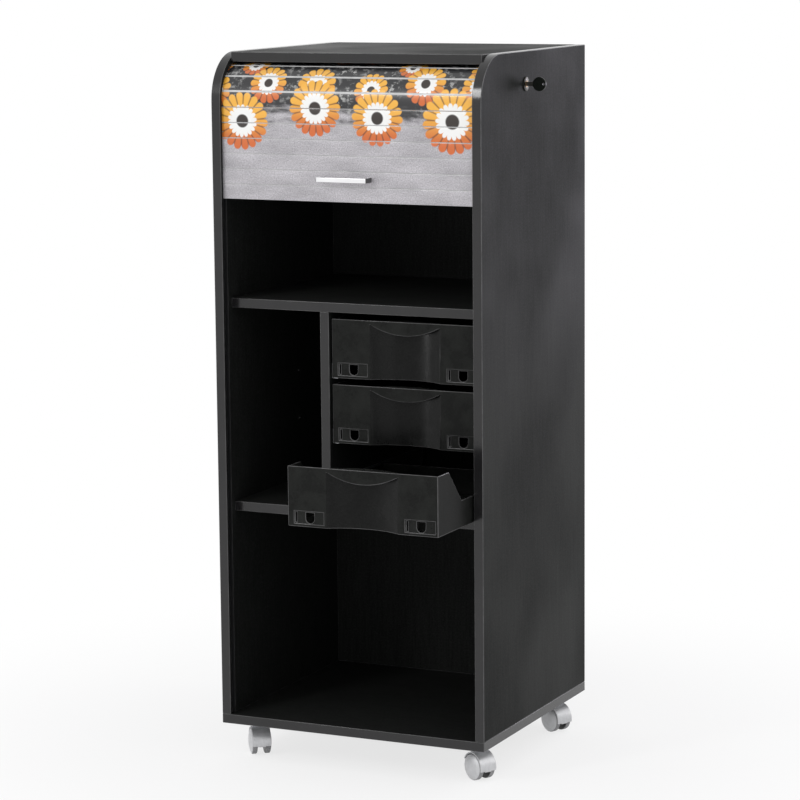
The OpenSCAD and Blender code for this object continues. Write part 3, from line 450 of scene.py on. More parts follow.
def plain_plastic_material(name, colour, roughness, shine=0.5):
    """A small moulded piece with a fine texture."""
    material, tree, shader = smudged_material(
        name, 0.02, rgba(colour, 0.88), rgba(colour, 1.12), roughness, roughness + 0.12, shine)
    texture = noise(tree, place_on_object(tree), 3000.0, 2.0)
    link_bump(tree, shader, texture, 0.02 * MM, 0.4)
    return material


def metal_material(name, colour, roughness, brushed=(1.0, 1.0, 1.0), depth=0.3):
    """Bare or plated metal, brushed along the axis in which the stretch is small."""
    material, tree, shader = new_material(name)
    lines = noise(tree, place_on_object(tree, brushed), 900.0, 4.0, 0.6)
    smudges = use_group(tree, "smudges", Vector=place_on_object(tree), Size=0.03)
    tone = mix_colours(tree, lines, rgba(colour, 0.85), rgba(colour, 1.08))
    tree.links.new(tone, shader.inputs["Base Color"])
    shader.inputs["Metallic"].default_value = 1.0
    rough = maths(tree, "ADD", roughness, maths(tree, "MULTIPLY", smudges.outputs["Smudges"], 0.1))
    tree.links.new(rough, shader.inputs["Roughness"])
    link_bump(tree, shader, lines, 0.02 * MM, depth)
    return material


def flange_material():
    """Nickel of the lock's flange, turned to a shallow dome around its middle. Its colour is
    darkened far below nickel's: a painted dark reflection.
    """
    material, tree, shader = new_material("nickel_flange")
    dome_fall = 13.0
    low, high = box("lock_body")
    middle = (low + high) / 2
    aside = add(tree, "ShaderNodeVectorMath", operation="SUBTRACT",
                inputs={0: place_on_object(tree), 1: (0.0, middle.y, middle.z)})
    around = add(tree, "ShaderNodeVectorMath", operation="MULTIPLY",
                 inputs={0: aside.outputs[0], 1: (0.0, 1.0, 1.0)})
    radius = add(tree, "ShaderNodeVectorMath", operation="LENGTH", inputs={0: around.outputs[0]})
    squared = maths(tree, "POWER", radius.outputs["Value"], 2.0)
    dome = maths(tree, "MULTIPLY", squared, -dome_fall)
    # Painted reflection: the colour is darkened far below nickel's, so the flange looks dark.
    shader.inputs["Base Color"].default_value = rgba((0.06, 0.058, 0.053))
    shader.inputs["Metallic"].default_value = 1.0
    shader.inputs["Roughness"].default_value = 0.2
    link_bump(tree, shader, dome, 1.0)
    return material


def silver_material():
    """Silver lacquer of the castors' hoods and wheel faces."""
    material, tree, shader = new_material("castor_silver")
    colour = colours().silver
    place = place_on_object(tree)
    smudges = use_group(tree, "smudges", Vector=place, Size=0.015)
    streaks = noise(tree, place_on_object(tree, (1.0, 1.0, 0.04)), 700.0, 3.0)
    tone = mix_colours(tree, smudges.outputs["Smudges"], rgba(colour, 0.9), rgba(colour, 1.08))
    tone = mix_colours(tree, spread(tree, streaks, 0.3, 0.7, 0.0, 0.35), tone,
                       rgba((0.75, 0.75, 0.77)))
    tree.links.new(tone, shader.inputs["Base Color"])
    shader.inputs["Metallic"].default_value = 0.4
    tree.links.new(spread(tree, smudges.outputs["Dust"], 0.0, 1.0, 0.34, 0.5),
                   shader.inputs["Roughness"])
    return material


def dowel_material():
    """Raw beech."""
    material, tree, shader = new_material("beech")
    grain = use_group(tree, "wood_grain", Vector=place_on_object(tree), Fineness=1.0)
    tone = mix_colours(tree, grain.outputs["Streaks"], rgba((0.50, 0.32, 0.16)),
                       rgba((0.64, 0.45, 0.25)))
    tree.links.new(tone, shader.inputs["Base Color"])
    shader.inputs["Roughness"].default_value = 0.7
    return material


def print_material():
    """The shutter's printed film: open flowers over dark foliage, above a pale speckled
    ground. The print repeats along the shutter with the travel of its joint."""
    material, tree, shader = new_material("printed_slats")
    tones = colours()
    layout = add(tree, "ShaderNodeUVMap", uv_map="print")
    parts = add(tree, "ShaderNodeSeparateXYZ", inputs={0: layout.outputs[0]})
    across = parts.outputs[0]
    run = maths(tree, "FLOORED_MODULO", parts.outputs[1], SHUTTER_RANGE)
    flat = add(tree, "ShaderNodeCombineXYZ", inputs={0: across, 1: run, 2: 0.0}).outputs[0]

    # Pale ground with coarse grit and long soft streaks
    grit = noise(tree, flat, 480.0, 4.0, 0.8)
    wide = add(tree, "ShaderNodeVectorMath", operation="MULTIPLY",
               inputs={0: flat, 1: (1.0, 3.0, 1.0)}).outputs[0]
    streaks = noise(tree, wide, 10.0, 6.0, 0.62)
    soft = mix_colours(tree, spread(tree, streaks, 0.35, 0.72), rgba(tones.print_ground, 1.1),
                       rgba(tones.print_ground, 0.70))
    ground = mix_colours(tree, spread(tree, grit, 0.36, 0.64), (0.66, 0.66, 0.66, 1.0),
                         (1.34, 1.34, 1.34, 1.0))
    ground = mix_colours(tree, 1.0, soft, ground, "MULTIPLY")

    # Dark foliage with pale leaves
    leaves = noise(tree, flat, 95.0, 6.0, 0.7)
    clumps = noise(tree, flat, 22.0, 3.0, 0.5)
    leaves = maths(tree, "MULTIPLY", spread(tree, leaves, 0.52, 0.60),
                   spread(tree, clumps, 0.40, 0.62))
    dark = mix_colours(tree, leaves, rgba(tones.print_dark), rgba(tones.print_white, 0.6))
    foliage_start, foliage_end = (0.126, 0.150), (0.300, 0.345)
    edge = maths(tree, "ADD", run, maths(tree, "MULTIPLY",
                                         maths(tree, "SUBTRACT", streaks, 0.5), 0.10))
    band = maths(tree, "MULTIPLY", spread(tree, edge, *foliage_start, smooth=True),
                 spread(tree, edge, *foliage_end, 1.0, 0.0, smooth=True))
    picture = mix_colours(tree, band, ground, dark)

    # Rows of flowers, the furthest first: place, spacing, reach, petals and share
    for row, spacing, reach, petals, share in (
            (0.258, 0.052, 0.018, 10.0, 0.55), (0.222, 0.068, 0.025, 12.0, 0.7),
            (0.186, 0.094, 0.036, 14.0, 0.8), (0.136, 0.128, 0.054, 18.0, 1.0)):
        flowers = use_group(tree, "blossom_row", Across=across, Run=run, Row=row,
                            Spacing=spacing, Reach=reach, Petals=petals, Share=share,
                            Light=rgba(tones.print_amber), Deep=rgba(tones.print_orange),
                            Pale=rgba(tones.print_white))
        picture = mix_colours(tree, flowers.outputs["Mask"], picture, flowers.outputs["Colour"])
    tree.links.new(picture, shader.inputs["Base Color"])
    shader.inputs["Roughness"].default_value = 0.28
    shader.inputs["Coat Weight"].default_value = 0.4
    shader.inputs["Coat Roughness"].default_value = 0.08
    link_bump(tree, shader, noise(tree, flat, 350.0, 2.0), 0.03 * MM, 0.25)
    return material


def make_finishes():
    """Builds every shared group and material once."""
    grain_group()
    smudge_group()
    blossom_group()
    tones = colours()
    return {
        "melamine_up": melamine_material("melamine_upright", tones.melamine, 0.28, 0.035, "Z"),
        "melamine_across": melamine_material("melamine_across", tones.melamine, 0.40, 0.08, "X"),
        "back_board": back_board_material(),
        "tape": tape_material(),
        # Painted highlight: lighter roundings on the boards' and drawers' edges.
        "edge_highlight": edge_highlight_material(),
        "drawer": drawer_material("drawer_plastic", 1.0, 0.24, 0.07),
        # Painted shade: a much darker copy of the drawer plastic, for the recess.
        "recess": drawer_material("recess_plastic_painted_shade", 0.25, 0.18, 0.12),
        # Painted shade: a darker, duller copy of the drawer plastic, for the sides.
        "drawer_side": drawer_material("drawer_side_plastic", 0.7, 0.34, 0.03),
        "black_plastic": plain_plastic_material("black_plastic", (0.016, 0.016, 0.017), 0.35),
        "key_plastic": plain_plastic_material("key_plastic", (0.008, 0.010, 0.008), 0.25, 0.2),
        # Painted shade: the dark plastic on the handle's end faces.
        "handle_end_shade": plain_plastic_material("handle_end_shade", (0.065, 0.065, 0.067), 0.4),
        "tread": plain_plastic_material("tread_rubber", (0.27, 0.27, 0.275), 0.55),
        "silver": silver_material(),
        "steel": metal_material("zinc_steel", (0.62, 0.63, 0.65), 0.32),
        # The key blade's nickel, darkened in colour as a painted dark reflection.
        "nickel": metal_material("nickel_plate", (0.105, 0.103, 0.097), 0.32, depth=0.1),
        "nickel_flange": flange_material(),
        "screw_zinc": metal_material("bright_zinc", (0.80, 0.80, 0.82), 0.12, depth=0.1),
        # The plug's brass, darkened in colour as a painted dark reflection.
        "brass": metal_material("brass_plug", (0.22, 0.145, 0.075), 0.34, depth=0.1),
        "aluminium": metal_material("anodised_aluminium", (0.84, 0.84, 0.85), 0.30,
                                    (0.03, 1.0, 1.0)),
        "beech": dowel_material(),
        "print": print_material(),
        "slat_back": plain_plastic_material("slat_plastic", (0.56, 0.56, 0.56), 0.3),
    }


FINISHES = {}


def finish(key):
    """A finish by its key."""
    if not FINISHES:
        FINISHES.update(make_finishes())
    return FINISHES[key]


# Limits of the mesh helpers: points within WELD are one, bends under FLAT are none, edges
# over SHARP are rounded, and a rounding takes the normals of faces within BLEND_OVER.
WELD = 0.002 * MM
FLAT, SHARP, BLEND_OVER = radians(0.4), radians(31), radians(60)


def link(name, mesh, materials):
    """Puts a mesh in the scene as an object with its materials."""
    piece = bpy.data.objects.new(name, mesh)
    bpy.context.scene.collection.objects.link(piece)
    for material in materials:
        piece.data.materials.append(material)
    return piece


def corner_normal(corner, roundings):
    """Shading normal at a face's corner. A flat face keeps its own, and a rounding takes
    over the normals of the faces that it joins."""
    face = corner.face
    limit = BLEND_OVER if face in roundings else SHARP
    around = [f for f in corner.vert.link_faces if f.normal.angle(face.normal, pi) < limit]
    firm = [f for f in around if f not in roundings]
    total = Vector()
    for near in firm or around:
        total += near.normal * (near.calc_area() if firm else 1.0)
    return total.normalized() if total.length > 0 else face.normal.copy()


def softened(node, name, width, materials, choose=None, edge_highlight=None, segments=2):
    """A copy of a CAD node with rounded edges. choose gives the material's number from a face's
    middle and normal, and the argument after it, if given, is the roundings' number, whose
    material is a painted highlight."""
    source = frame["nodes"][node]
    work = bmesh.new()
    work.from_mesh(source.data)
    bmesh.ops.remove_doubles(work, verts=work.verts, dist=WELD)
    bmesh.ops.dissolve_limit(work, angle_limit=FLAT, verts=work.verts, edges=work.edges)
    sharp = [e for e in work.edges if len(e.link_faces) == 2 and e.is_convex
             and e.calc_face_angle(0.0) > SHARP]
    made = bmesh.ops.bevel(work, geom=sharp, offset=width, offset_type="OFFSET",
                           segments=segments, profile=0.5, affect="EDGES", clamp_overlap=False)
    roundings = set(made["faces"])
    work.normal_update()
    normals = []
    for face in work.faces:
        face.smooth = True
        # Where given, the roundings take a painted highlight.
        if edge_highlight is not None and face in roundings:
            face.material_index = edge_highlight
        elif choose:
            face.material_index = choose(face.calc_center_median(), face.normal)
        normals += [corner_normal(corner, roundings) for corner in face.loops]
    mesh = bpy.data.meshes.new(name)
    work.to_mesh(mesh)
    work.free()
    mesh.normals_split_custom_set(normals)
    piece = link(name, mesh, materials)
    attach(piece, source["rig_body"])
    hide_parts(node)
    return piece


def finish_node(node, key):
    """Gives a CAD node its finish."""
    target = frame["nodes"][node].data
    target.materials.clear()
    target.materials.append(finish(key))


def operator_result(pieces):
    """Finishes an operator, or stops the script if it made nothing."""
    if not pieces:
        raise RuntimeError("nothing was built")
    return {"FINISHED"}


class PEDESTAL_OT_boards(bpy.types.Operator):
    """Boards of the carcass with their edge tape"""

    bl_idname = "pedestal.boards"
    bl_label = "Boards"

    upright = ("side_panel_left", "side_panel_right", "divider", "back_panel", "inner_back_panel")
    across = ("base_panel", "top_panel", "upper_shelf", "lower_shelf")
    face_on = 0.8

    def execute(self, context):
        width = sizes().board_round
        pieces = []
        for node in self.upright + self.across:
            key = "melamine_up" if node in self.upright else "melamine_across"
            key = "back_board" if node == "back_panel" else key
            low, high = box(node)
            thin = min(range(3), key=lambda i: high[i] - low[i])

            def is_taped(middle, normal, thin=thin):
                return 1 if abs(normal[thin]) < self.face_on else 0

            # The roundings take the lighter edge finish, a painted highlight.
            pieces.append(softened(node, "dressed_" + node, width,
                                   [finish(key), finish("tape"), finish("edge_highlight")],
                                   is_taped, edge_highlight=2))
        return operator_result(pieces)


class PEDESTAL_OT_shutter(bpy.types.Operator):
    """Roller shutter with its printed slats, handle and tracks"""

    bl_idname = "pedestal.shutter"
    bl_label = "Roller shutter"

    def execute(self, context):
        pieces = [*build_curtain(), build_handle()]
        for side in ("left", "right"):
            finish_node("track_" + side, "black_plastic")
        finish_node("handle_screws", "steel")
        return operator_result(pieces)


# The shutter's path, along the middle of its slats.
class ShutterPath:
    """Place and direction of a point at a distance along the shutter."""

    def __init__(self):
        bend = sizes().shutter_r - SLAT_T / 2
        self.r = bend
        self.front_y = (END_LOW.y + END_HIGH.y) / 2
        self.rear_y = REAR_HIGH.y - SLAT_T / 2
        top_low, top_high = box("shutter_slats_top")
        self.top_z = top_high.z - SLAT_T / 2
        self.arc_z = self.top_z - bend
        self.low_z = END_LOW.z
        self.front_run = self.arc_z - self.low_z
        self.arc_end = self.front_run + pi / 2 * bend
        self.top_end = self.arc_end + (self.rear_y - self.front_y) - 2 * bend
        self.rear_start = self.top_end + pi / 2 * bend
        self.end = self.rear_start + self.arc_z - REAR_LOW.z

    def angle(self, s):
        """0 upright in front, a quarter turn on top and a half turn behind."""
        if s < self.front_run:
            return 0.0
        if s < self.arc_end:
            return (s - self.front_run) / self.r
        if s < self.top_end:
            return pi / 2
        return min(pi / 2 + (s - self.top_end) / self.r, pi)

    def middle(self, s):
        """Y and Z of the slats' middle."""
        a = self.angle(s)
        if s < self.front_run:
            return self.front_y, self.low_z + s
        if s < self.arc_end:
            return self.front_y + self.r * (1 - cos(a)), self.arc_z + self.r * sin(a)
        if s < self.top_end:
            return self.front_y + self.r + s - self.arc_end, self.top_z
        if s < self.rear_start:
            return self.rear_y - self.r * (1 + cos(a)), self.arc_z + self.r * sin(a)
        return self.rear_y, self.arc_z - (s - self.rear_start)


def slat_outline(pitch, gap, rounding, steps=3):
    """Outline of a slat: distance out of its middle plane, and distance along the run."""
    half_w, half_t = (pitch - gap) / 2, SLAT_T / 2
    bevel = 1.4 * MM
    flat_t, flat_w = half_t - rounding, half_w - rounding
    turns = [pi / 2 * k / steps for k in range(steps + 1)]
    points = [(-half_t, -half_w + bevel), (0.0, -half_w)]
    points += [(flat_t + rounding * sin(a), -flat_w - rounding * cos(a)) for a in turns]
    points += [(flat_t + rounding * cos(a), flat_w + rounding * sin(a)) for a in turns]
    return points + [(0.0, half_w), (-half_t, half_w - bevel)]


def add_slat(work, layer, outline, place, turn, run, half_l):
    """Adds one slat. place is Y and Z, and run is its middle's distance along the print."""
    rings = []
    for x in (-half_l, half_l):
        ring = []
        for out, up in outline:
            y = place[0] - out * cos(turn) + up * sin(turn)
            z = place[1] + out * sin(turn) + up * cos(turn)
            ring.append(work.verts.new((x, y, z)))
        rings.append(ring)
    count = len(outline)
    faces = []
    for k in range(count):
        n = (k + 1) % count
        faces.append((work.faces.new((rings[0][k], rings[1][k], rings[1][n], rings[0][n])), k, n))
    for ring in (list(reversed(rings[0])), rings[1]):
        face = work.faces.new(ring)
        face.material_index = 1
    printed_from = SLAT_T / 2 - 0.4 * sizes().slat_round
    for face, k, n in faces:
        printed = min(outline[k][0], outline[n][0]) > printed_from
        face.material_index = 0 if printed else 1
        for loop, (row, which) in zip(face.loops, ((0, k), (1, k), (1, n), (0, n))):
            x = -half_l if row == 0 else half_l
            loop[layer].uv = (x, run + outline[which][1])


def add_joint(work, path, middle, half_l):
    """Closes the gap over a slat with the light plastic that joins it to the next one."""
    s = sizes()
    out, reach = SLAT_T / 2 - s.slat_round, s.slat_pitch / 2 - 0.4 * s.slat_gap
    rows = []
    for start, up in ((middle, reach), (middle + s.slat_pitch, -reach)):
        y, z = path.middle(start)
        turn = path.angle(start)
        y += -out * cos(turn) + up * sin(turn)
        z += out * sin(turn) + up * cos(turn)
        rows.append((work.verts.new((-half_l, y, z)), work.verts.new((half_l, y, z))))
    face = work.faces.new((rows[0][0], rows[0][1], rows[1][1], rows[1][0]))
    face.material_index = 1


def curtain_mesh(name, path, first, last, half_l):
    """A run of slats as one mesh, counted from the leading edge."""
    s = sizes()
    work = bmesh.new()
    layer = work.loops.layers.uv.new("print")
    outline = slat_outline(s.slat_pitch, s.slat_gap, s.slat_round)
    for i in range(first, last):
        middle = (i + 0.5) * s.slat_pitch
        add_slat(work, layer, outline, path.middle(middle), path.angle(middle), middle, half_l)
    bmesh.ops.recalc_face_normals(work, faces=work.faces)
    for i in range(first, last - 1):
        add_joint(work, path, (i + 0.5) * s.slat_pitch, half_l)
    mesh = bpy.data.meshes.new(name)
    work.to_mesh(mesh)
    work.free()
    for face in mesh.polygons:
        face.use_smooth = True
    mesh.set_sharp_from_angle(angle=radians(40))
    return link(name, mesh, [finish("print"), finish("slat_back")])


def build_curtain():
    """The slats that move, those that stay in the bends, and those that come out between."""
    s = sizes()
    path = ShutterPath()
    half_l = SLATS_HIGH.x
    moving = round((SLATS_HIGH.z - path.low_z) / s.slat_pitch)
    total = round(path.end / s.slat_pitch)
    lower = curtain_mesh("shutter_lower_slats", path, 0, moving, half_l)
    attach(lower, "shutter")
    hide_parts("shutter_end_slat", "shutter_slats_front")
    upper = curtain_mesh("shutter_upper_slats", path, moving, total, half_l)
    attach(upper, "carcass")
    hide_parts("shutter_slats_arc", "shutter_slats_top", "shutter_slats_rear")
    between = build_slats_between(path, moving, half_l)
    return [lower, upper, between]


def build_slats_between(path, moving, half_l):
    """Slats that the lowered shutter draws out of the bend. At rest they lie folded up in
    the gap over the moving slats."""
    s = sizes()
    count = round(SHUTTER_RANGE / s.slat_pitch)
    half_fold, behind, depth = 0.25 * MM, 0.5 * MM, 1.2 * MM
    gap_z = path.low_z + moving * s.slat_pitch
    low, high = gap_z - half_fold, gap_z + half_fold
    face = path.front_y - SLAT_T / 2 + behind
    work = bmesh.new()
    layer = work.loops.layers.uv.new("print")
    rows = []
    for i in range(count):
        start = i * s.slat_pitch
        for along, out in ((s.slat_gap, 0.0), (s.slat_gap + s.slat_round, 1.0),
                           (s.slat_pitch - s.slat_round, 1.0), (s.slat_pitch, 0.0)):
            rows.append((start + along, out))
    rows[0] = (0.0, 0.0)
    total = count * s.slat_pitch
    previous = None
    for along, out in rows:
        share = 1.0 - along / total
        t = 0.5 - sin(asin(1 - 2 * share) / 3)
        z = high - t * (high - low)
        y = face + (1.0 - out) * depth
        pair = (work.verts.new((-half_l, y, z)), work.verts.new((half_l, y, z)))
        run = moving * s.slat_pitch + along
        if previous:
            strip = work.faces.new((previous[0][0], previous[0][1], pair[1], pair[0]))
            strip.material_index = 0 if out or previous[2] else 1
            for loop, (x, r) in zip(strip.loops, ((-half_l, previous[1]), (half_l, previous[1]),
                                                  (half_l, run), (-half_l, run))):
                loop[layer].uv = (x, r)
        previous = (pair, run, out)
    mesh = bpy.data.meshes.new("shutter_slats_between")
    work.to_mesh(mesh)
    work.free()
    piece = link("shutter_slats_between", mesh, [finish("print"), finish("slat_back")])
    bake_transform(piece)
    return piece


def build_handle():
    """The handle's bar on its two legs; the faces at its ends are dark as painted shade."""
    low, high = box("shutter_handle")

    # The faces at the bar's ends are dark: painted shade.
    def is_shaded_end(middle, normal):
        return 1 if min(middle.x - low.x, high.x - middle.x) < sizes().plastic_round else 0

    return softened("shutter_handle", "dressed_shutter_handle", sizes().plastic_round,
                    [finish("aluminium"), finish("handle_end_shade")], is_shaded_end)


class PEDESTAL_OT_rails(bpy.types.Operator):
    """Hanging-file rails and their brackets"""

    bl_idname = "pedestal.rails"
    bl_label = "Hanging rails"

    def execute(self, context):
        pieces = []
        for node in ("hanging_rail_front", "hanging_rail_rear"):
            pieces.append(softened(node, "dressed_" + node, sizes().metal_round,
                                   [finish("steel")]))
        pieces.append(softened("rail_brackets", "dressed_rail_brackets", sizes().metal_round,
                               [finish("black_plastic")]))
        return operator_result(pieces)


class PEDESTAL_OT_drawers(bpy.types.Operator):
    """Moulded drawers and their runners"""

    bl_idname = "pedestal.drawers"
    bl_label = "Drawers"

    recess_half = 66 * MM
    recess_from, recess_to = 0.3 * MM, 22 * MM
    side_on, front_on = 0.9, -0.3

    def execute(self, context):
        pieces = []
        for number in (1, 2, 3):
            node = "drawer_%d" % number
            low, high = box(node)
            middle = (low.x + high.x) / 2

            # The sides take a darker copy of the plastic and the recess a much darker one: painted
            # shade.
            def drawer_part(place, normal, front=low.y, middle=middle):
                if abs(normal.x) > self.side_on:
                    return 3
                sunk = self.recess_from < place.y - front < self.recess_to
                inside = abs(place.x - middle) < self.recess_half
                return 2 if sunk and inside and normal.y < self.front_on else 0

            # The drawers' roundings take the lighter edge finish, a painted highlight.
            pieces.append(softened(node, "dressed_" + node, sizes().plastic_round,
                                   [finish("drawer"), finish("edge_highlight"), finish("recess"),
                                    finish("drawer_side")], drawer_part, edge_highlight=1))
        for side in ("left", "right"):
            finish_node("runners_" + side, "steel")
        return operator_result(pieces)


class PEDESTAL_OT_lock(bpy.types.Operator):
    """Cylinder lock with its key"""

    bl_idname = "pedestal.lock"
    bl_label = "Lock and key"

    def execute(self, context):
        width = sizes().metal_round
        pieces = [
            softened("lock_body", "dressed_lock_body", width, [finish("nickel_flange")]),
            softened("lock_plug", "dressed_lock_plug", width / 2, [finish("brass")]),
            softened("key_head", "dressed_key_head", width * 2, [finish("key_plastic")]),
            softened("key_blade", "dressed_key_blade", width / 2, [finish("nickel")]),
        ]
        for node in ("lock_nut", "lock_cam", "lock_stop"):
            finish_node(node, "steel")
        return operator_result(pieces)


class PEDESTAL_OT_castors(bpy.types.Operator):
    """Twin-wheel castors"""

    bl_idname = "pedestal.castors"
    bl_label = "Castors"

    def execute(self, context):
        pieces = []
        for corner in ("fl", "fr", "br", "bl"):
            pieces += build_castor(corner)
        return operator_result(pieces)


def build_castor(corner):
    """A castor's hood and wheels. Only their outside is silver: the hood's web and the
    wheels' inner sides are black, and the treads grey."""
    joint = next(j for j in frame["joints"] if j["child"] == "wheel_%s_a" % corner)
    hub, axle = Vector(joint["pos_m"]), Vector(joint["axis"])
    wheels = {hand: box("castor_wheel_%s_%s" % (corner, hand)) for hand in ("a", "b")}
    middles = {hand: (low + high) / 2 for hand, (low, high) in wheels.items()}
    centre = (middles["a"] + middles["b"]) / 2
    wheel_r = wheels["a"][1].z / 2
    spacing = abs((middles["a"] - centre).dot(axle))
    face_on, side_on, web_share, tread_share = 0.85, 0.8, 0.8, 0.9

    def from_axle(point):
        out = point - hub
        return (out - axle * out.dot(axle)).length

    def is_web(middle, normal):
        aside = abs((middle - centre).dot(axle))
        return 1 if from_axle(middle) < wheel_r and aside < web_share * spacing else 0

    pieces = [softened("castor_hood_" + corner, "dressed_castor_hood_" + corner,
                       sizes().metal_round, [finish("silver"), finish("black_plastic")], is_web)]
    for hand in ("a", "b"):
        outward = axle if (middles[hand] - centre).dot(axle) > 0 else -axle

        def wheel_part(middle, normal, outward=outward):
            if normal.dot(outward) > face_on:
                return 0
            on_tread = from_axle(middle) > tread_share * wheel_r
            return 1 if abs(normal.dot(axle)) < side_on and on_tread else 2

        node = "castor_wheel_%s_%s" % (corner, hand)
        pieces.append(softened(node, "dressed_" + node, sizes().metal_round,
                               [finish("silver"), finish("tread"), finish("black_plastic")],
                               wheel_part))
    finish_node("castor_plate_" + corner, "steel")
    finish_node("castor_axle_" + corner, "steel")
    return pieces


class PEDESTAL_OT_fasteners(bpy.types.Operator):
    """Screws, cams, bolts and dowels"""

    bl_idname = "pedestal.fasteners"
    bl_label = "Fasteners"

    def execute(self, context):
        for node in ("carcass_screws", "cam_discs", "cam_bolts", "back_screws", "castor_screws"):
            finish_node(node, "steel")
        finish_node("fitting_screws", "screw_zinc")
        finish_node("divider_dowels", "beech")
        return {"FINISHED"}


class PEDESTAL_OT_stage(bpy.types.Operator):
    """Floor, lights and camera"""

    bl_idname = "pedestal.stage"
    bl_label = "Stage"

    def execute(self, context):
        build_floor()
        build_lights()
        build_camera()
        context.scene.view_settings.view_transform = "Standard"
        return {"FINISHED"}


def build_floor():
    """A pale floor under everything, nearly white round the castors and white further out."""
    mesh = bpy.data.meshes.new("floor")
    reach, near, far, near_white = 14.0, 0.45, 1.2, 0.75
    mesh.from_pydata([(-reach, -reach, 0), (reach, -reach, 0), (reach, reach, 0),
                      (-reach, reach, 0)], [], [(0, 1, 2, 3)])
    material, tree, shader = new_material("pale_floor")
    place = place_on_object(tree)
    tone = mix_colours(tree, noise(tree, place, 0.8, 2.0), (0.90, 0.90, 0.90, 1.0),
                       (0.93, 0.93, 0.93, 1.0))
    tree.links.new(tone, shader.inputs["Base Color"])
    shader.inputs["Roughness"].default_value = 0.9
    shader.inputs["Specular IOR Level"].default_value = 0.1

    # Seen directly or in a reflection, the floor turns into the white background
    away = add(tree, "ShaderNodeVectorMath", operation="LENGTH", inputs={0: place})
    whiteness = spread(tree, away.outputs["Value"], near, far, near_white, 1.0, smooth=True)
    white = add(tree, "ShaderNodeEmission", inputs={"Color": (1.0, 1.0, 1.0, 1.0)})
    blend = add(tree, "ShaderNodeMixShader",
                inputs={0: maths(tree, "MULTIPLY", whiteness, background_rays(tree)),
                        1: shader.outputs[0], 2: white.outputs[0]})
    tree.links.new(blend.outputs[0], tree.nodes["Material Output"].inputs["Surface"])
    floor = link("floor", mesh, [material])


def background_rays(tree):
    """1 for the rays that show the background: from the camera, in gloss or through glass."""
    rays = add(tree, "ShaderNodeLightPath")
    seen = maths(tree, "MAXIMUM", rays.outputs["Is Camera Ray"], rays.outputs["Is Glossy Ray"])
    return maths(tree, "MAXIMUM", seen, rays.outputs["Is Transmission Ray"])


def build_lights():
    """A lamp in front on the left, low ones in front and at the left, a broad one at the
    right and one behind on the right, which the side panel mirrors."""
    plain, cool = (1.0, 1.0, 1.0), (0.91, 0.87, 1.0)
    for name, place, target, width, height, power, colour in (
            ("key_lamp", (-1.5, -3.5, 2.7), (0, 0, 0.7), 0.5, 1.3, 34, plain),
            ("fill_lamp", (0.9, -4.2, 0.8), (0, 0, 0.6), 1.8, 1.8, 7, plain),
            ("left_lamp", (-3.3, -2.5, 0.5), (0, 0, 0.6), 0.35, 0.6, 10, plain),
            ("side_lamp", (3.8, 0.4, 2.6), (0.2, 0, 0.6), 2.4, 2.4, 26, plain),
            ("back_lamp", (2.1, 4.2, 1.0), (0.25, 0, 0.9), 1.4, 1.4, 31, cool)):
        lamp = bpy.data.lights.new(name, "AREA")
        lamp.shape = "RECTANGLE"
        lamp.size, lamp.size_y = width, height
        lamp.energy = power
        lamp.color = colour
        holder = bpy.data.objects.new(name, lamp)
        holder.location = place
        holder.visible_camera = False
        aim = Vector(target) - Vector(place)
        holder.rotation_euler = aim.to_track_quat("-Z", "Y").to_euler()
        bpy.context.scene.collection.objects.link(holder)
    world = bpy.data.worlds.new("studio")
    world.use_nodes = True
    tree = world.node_tree
    background = tree.nodes["Background"]
    tone = mix_colours(tree, background_rays(tree), (0.78, 0.78, 0.79, 1.0),
                       (1.0, 1.0, 1.0, 1.0))
    tree.links.new(tone, background.inputs["Color"])
    bpy.context.scene.world = world


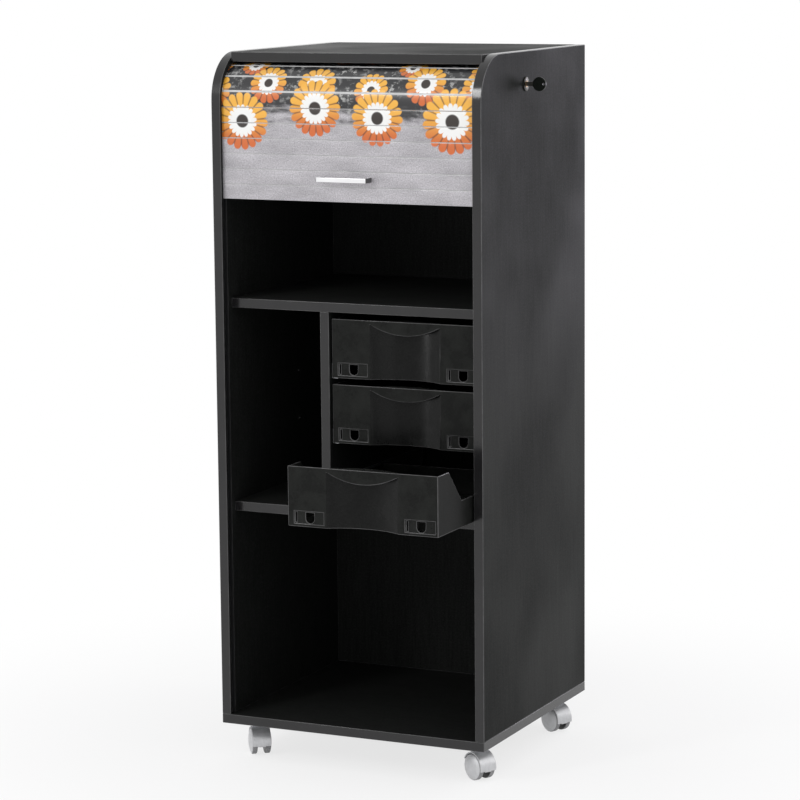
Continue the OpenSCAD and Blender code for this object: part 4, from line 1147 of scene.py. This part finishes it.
def build_camera():
    """The camera at the photograph's place and angle."""
    yaw, pitch, roll = radians(25.10), radians(8.91), radians(0.53)
    place = (2.156, -4.620, 1.391)
    sensor_mm, focal_px, picture_px = 36.0, 3055, 800
    forward = Vector((-sin(yaw), cos(yaw), 0))
    right = Vector((cos(yaw), sin(yaw), 0))
    down = Vector((0, 0, -1))
    ahead = forward * cos(pitch) + down * sin(pitch)
    below = down * cos(pitch) - forward * sin(pitch)
    x_axis = right * cos(roll) + below * sin(roll)
    y_axis = -(below * cos(roll) - right * sin(roll))
    lens = bpy.data.cameras.new("camera")
    lens.sensor_width = sensor_mm
    lens.lens = sensor_mm * focal_px / picture_px
    lens.clip_end = 100
    holder = bpy.data.objects.new("camera", lens)
    axes = Matrix((x_axis, y_axis, -ahead)).transposed()
    holder.matrix_world = Matrix.Translation(place) @ axes.to_4x4()
    bpy.context.scene.collection.objects.link(holder)
    bpy.context.scene.camera = holder


class PEDESTAL_PT_panel(bpy.types.Panel):
    """Lists the pedestal's pieces and settings"""

    bl_idname = "PEDESTAL_PT_panel"
    bl_label = "Filing pedestal"
    bl_space_type = "VIEW_3D"
    bl_region_type = "UI"
    bl_category = "Pedestal"

    def draw(self, context):
        column = self.layout.column()
        for group in (context.scene.pedestal_sizes, context.scene.pedestal_colours):
            for name in group.__annotations__:
                column.prop(group, name)
        for operator in OPERATORS:
            column.operator(operator.bl_idname)


OPERATORS = (PEDESTAL_OT_boards, PEDESTAL_OT_shutter, PEDESTAL_OT_rails, PEDESTAL_OT_drawers,
             PEDESTAL_OT_lock, PEDESTAL_OT_castors, PEDESTAL_OT_fasteners, PEDESTAL_OT_stage)
CLASSES = (PedestalSizes, PedestalColours, *OPERATORS, PEDESTAL_PT_panel)


def register():
    """Registers the classes and the scene's settings."""
    for item in CLASSES:
        bpy.utils.register_class(item)
    bpy.types.Scene.pedestal_sizes = bpy.props.PointerProperty(type=PedestalSizes)
    bpy.types.Scene.pedestal_colours = bpy.props.PointerProperty(type=PedestalColours)


def unregister():
    """Takes them out again."""
    del bpy.types.Scene.pedestal_colours
    del bpy.types.Scene.pedestal_sizes
    for item in reversed(CLASSES):
        bpy.utils.unregister_class(item)


def main():
    register()
    bpy.ops.pedestal.boards()
    bpy.ops.pedestal.shutter()
    bpy.ops.pedestal.rails()
    bpy.ops.pedestal.drawers()
    bpy.ops.pedestal.lock()
    bpy.ops.pedestal.castors()
    bpy.ops.pedestal.fasteners()
    bpy.ops.pedestal.stage()


if __name__ == "__main__":
    main()
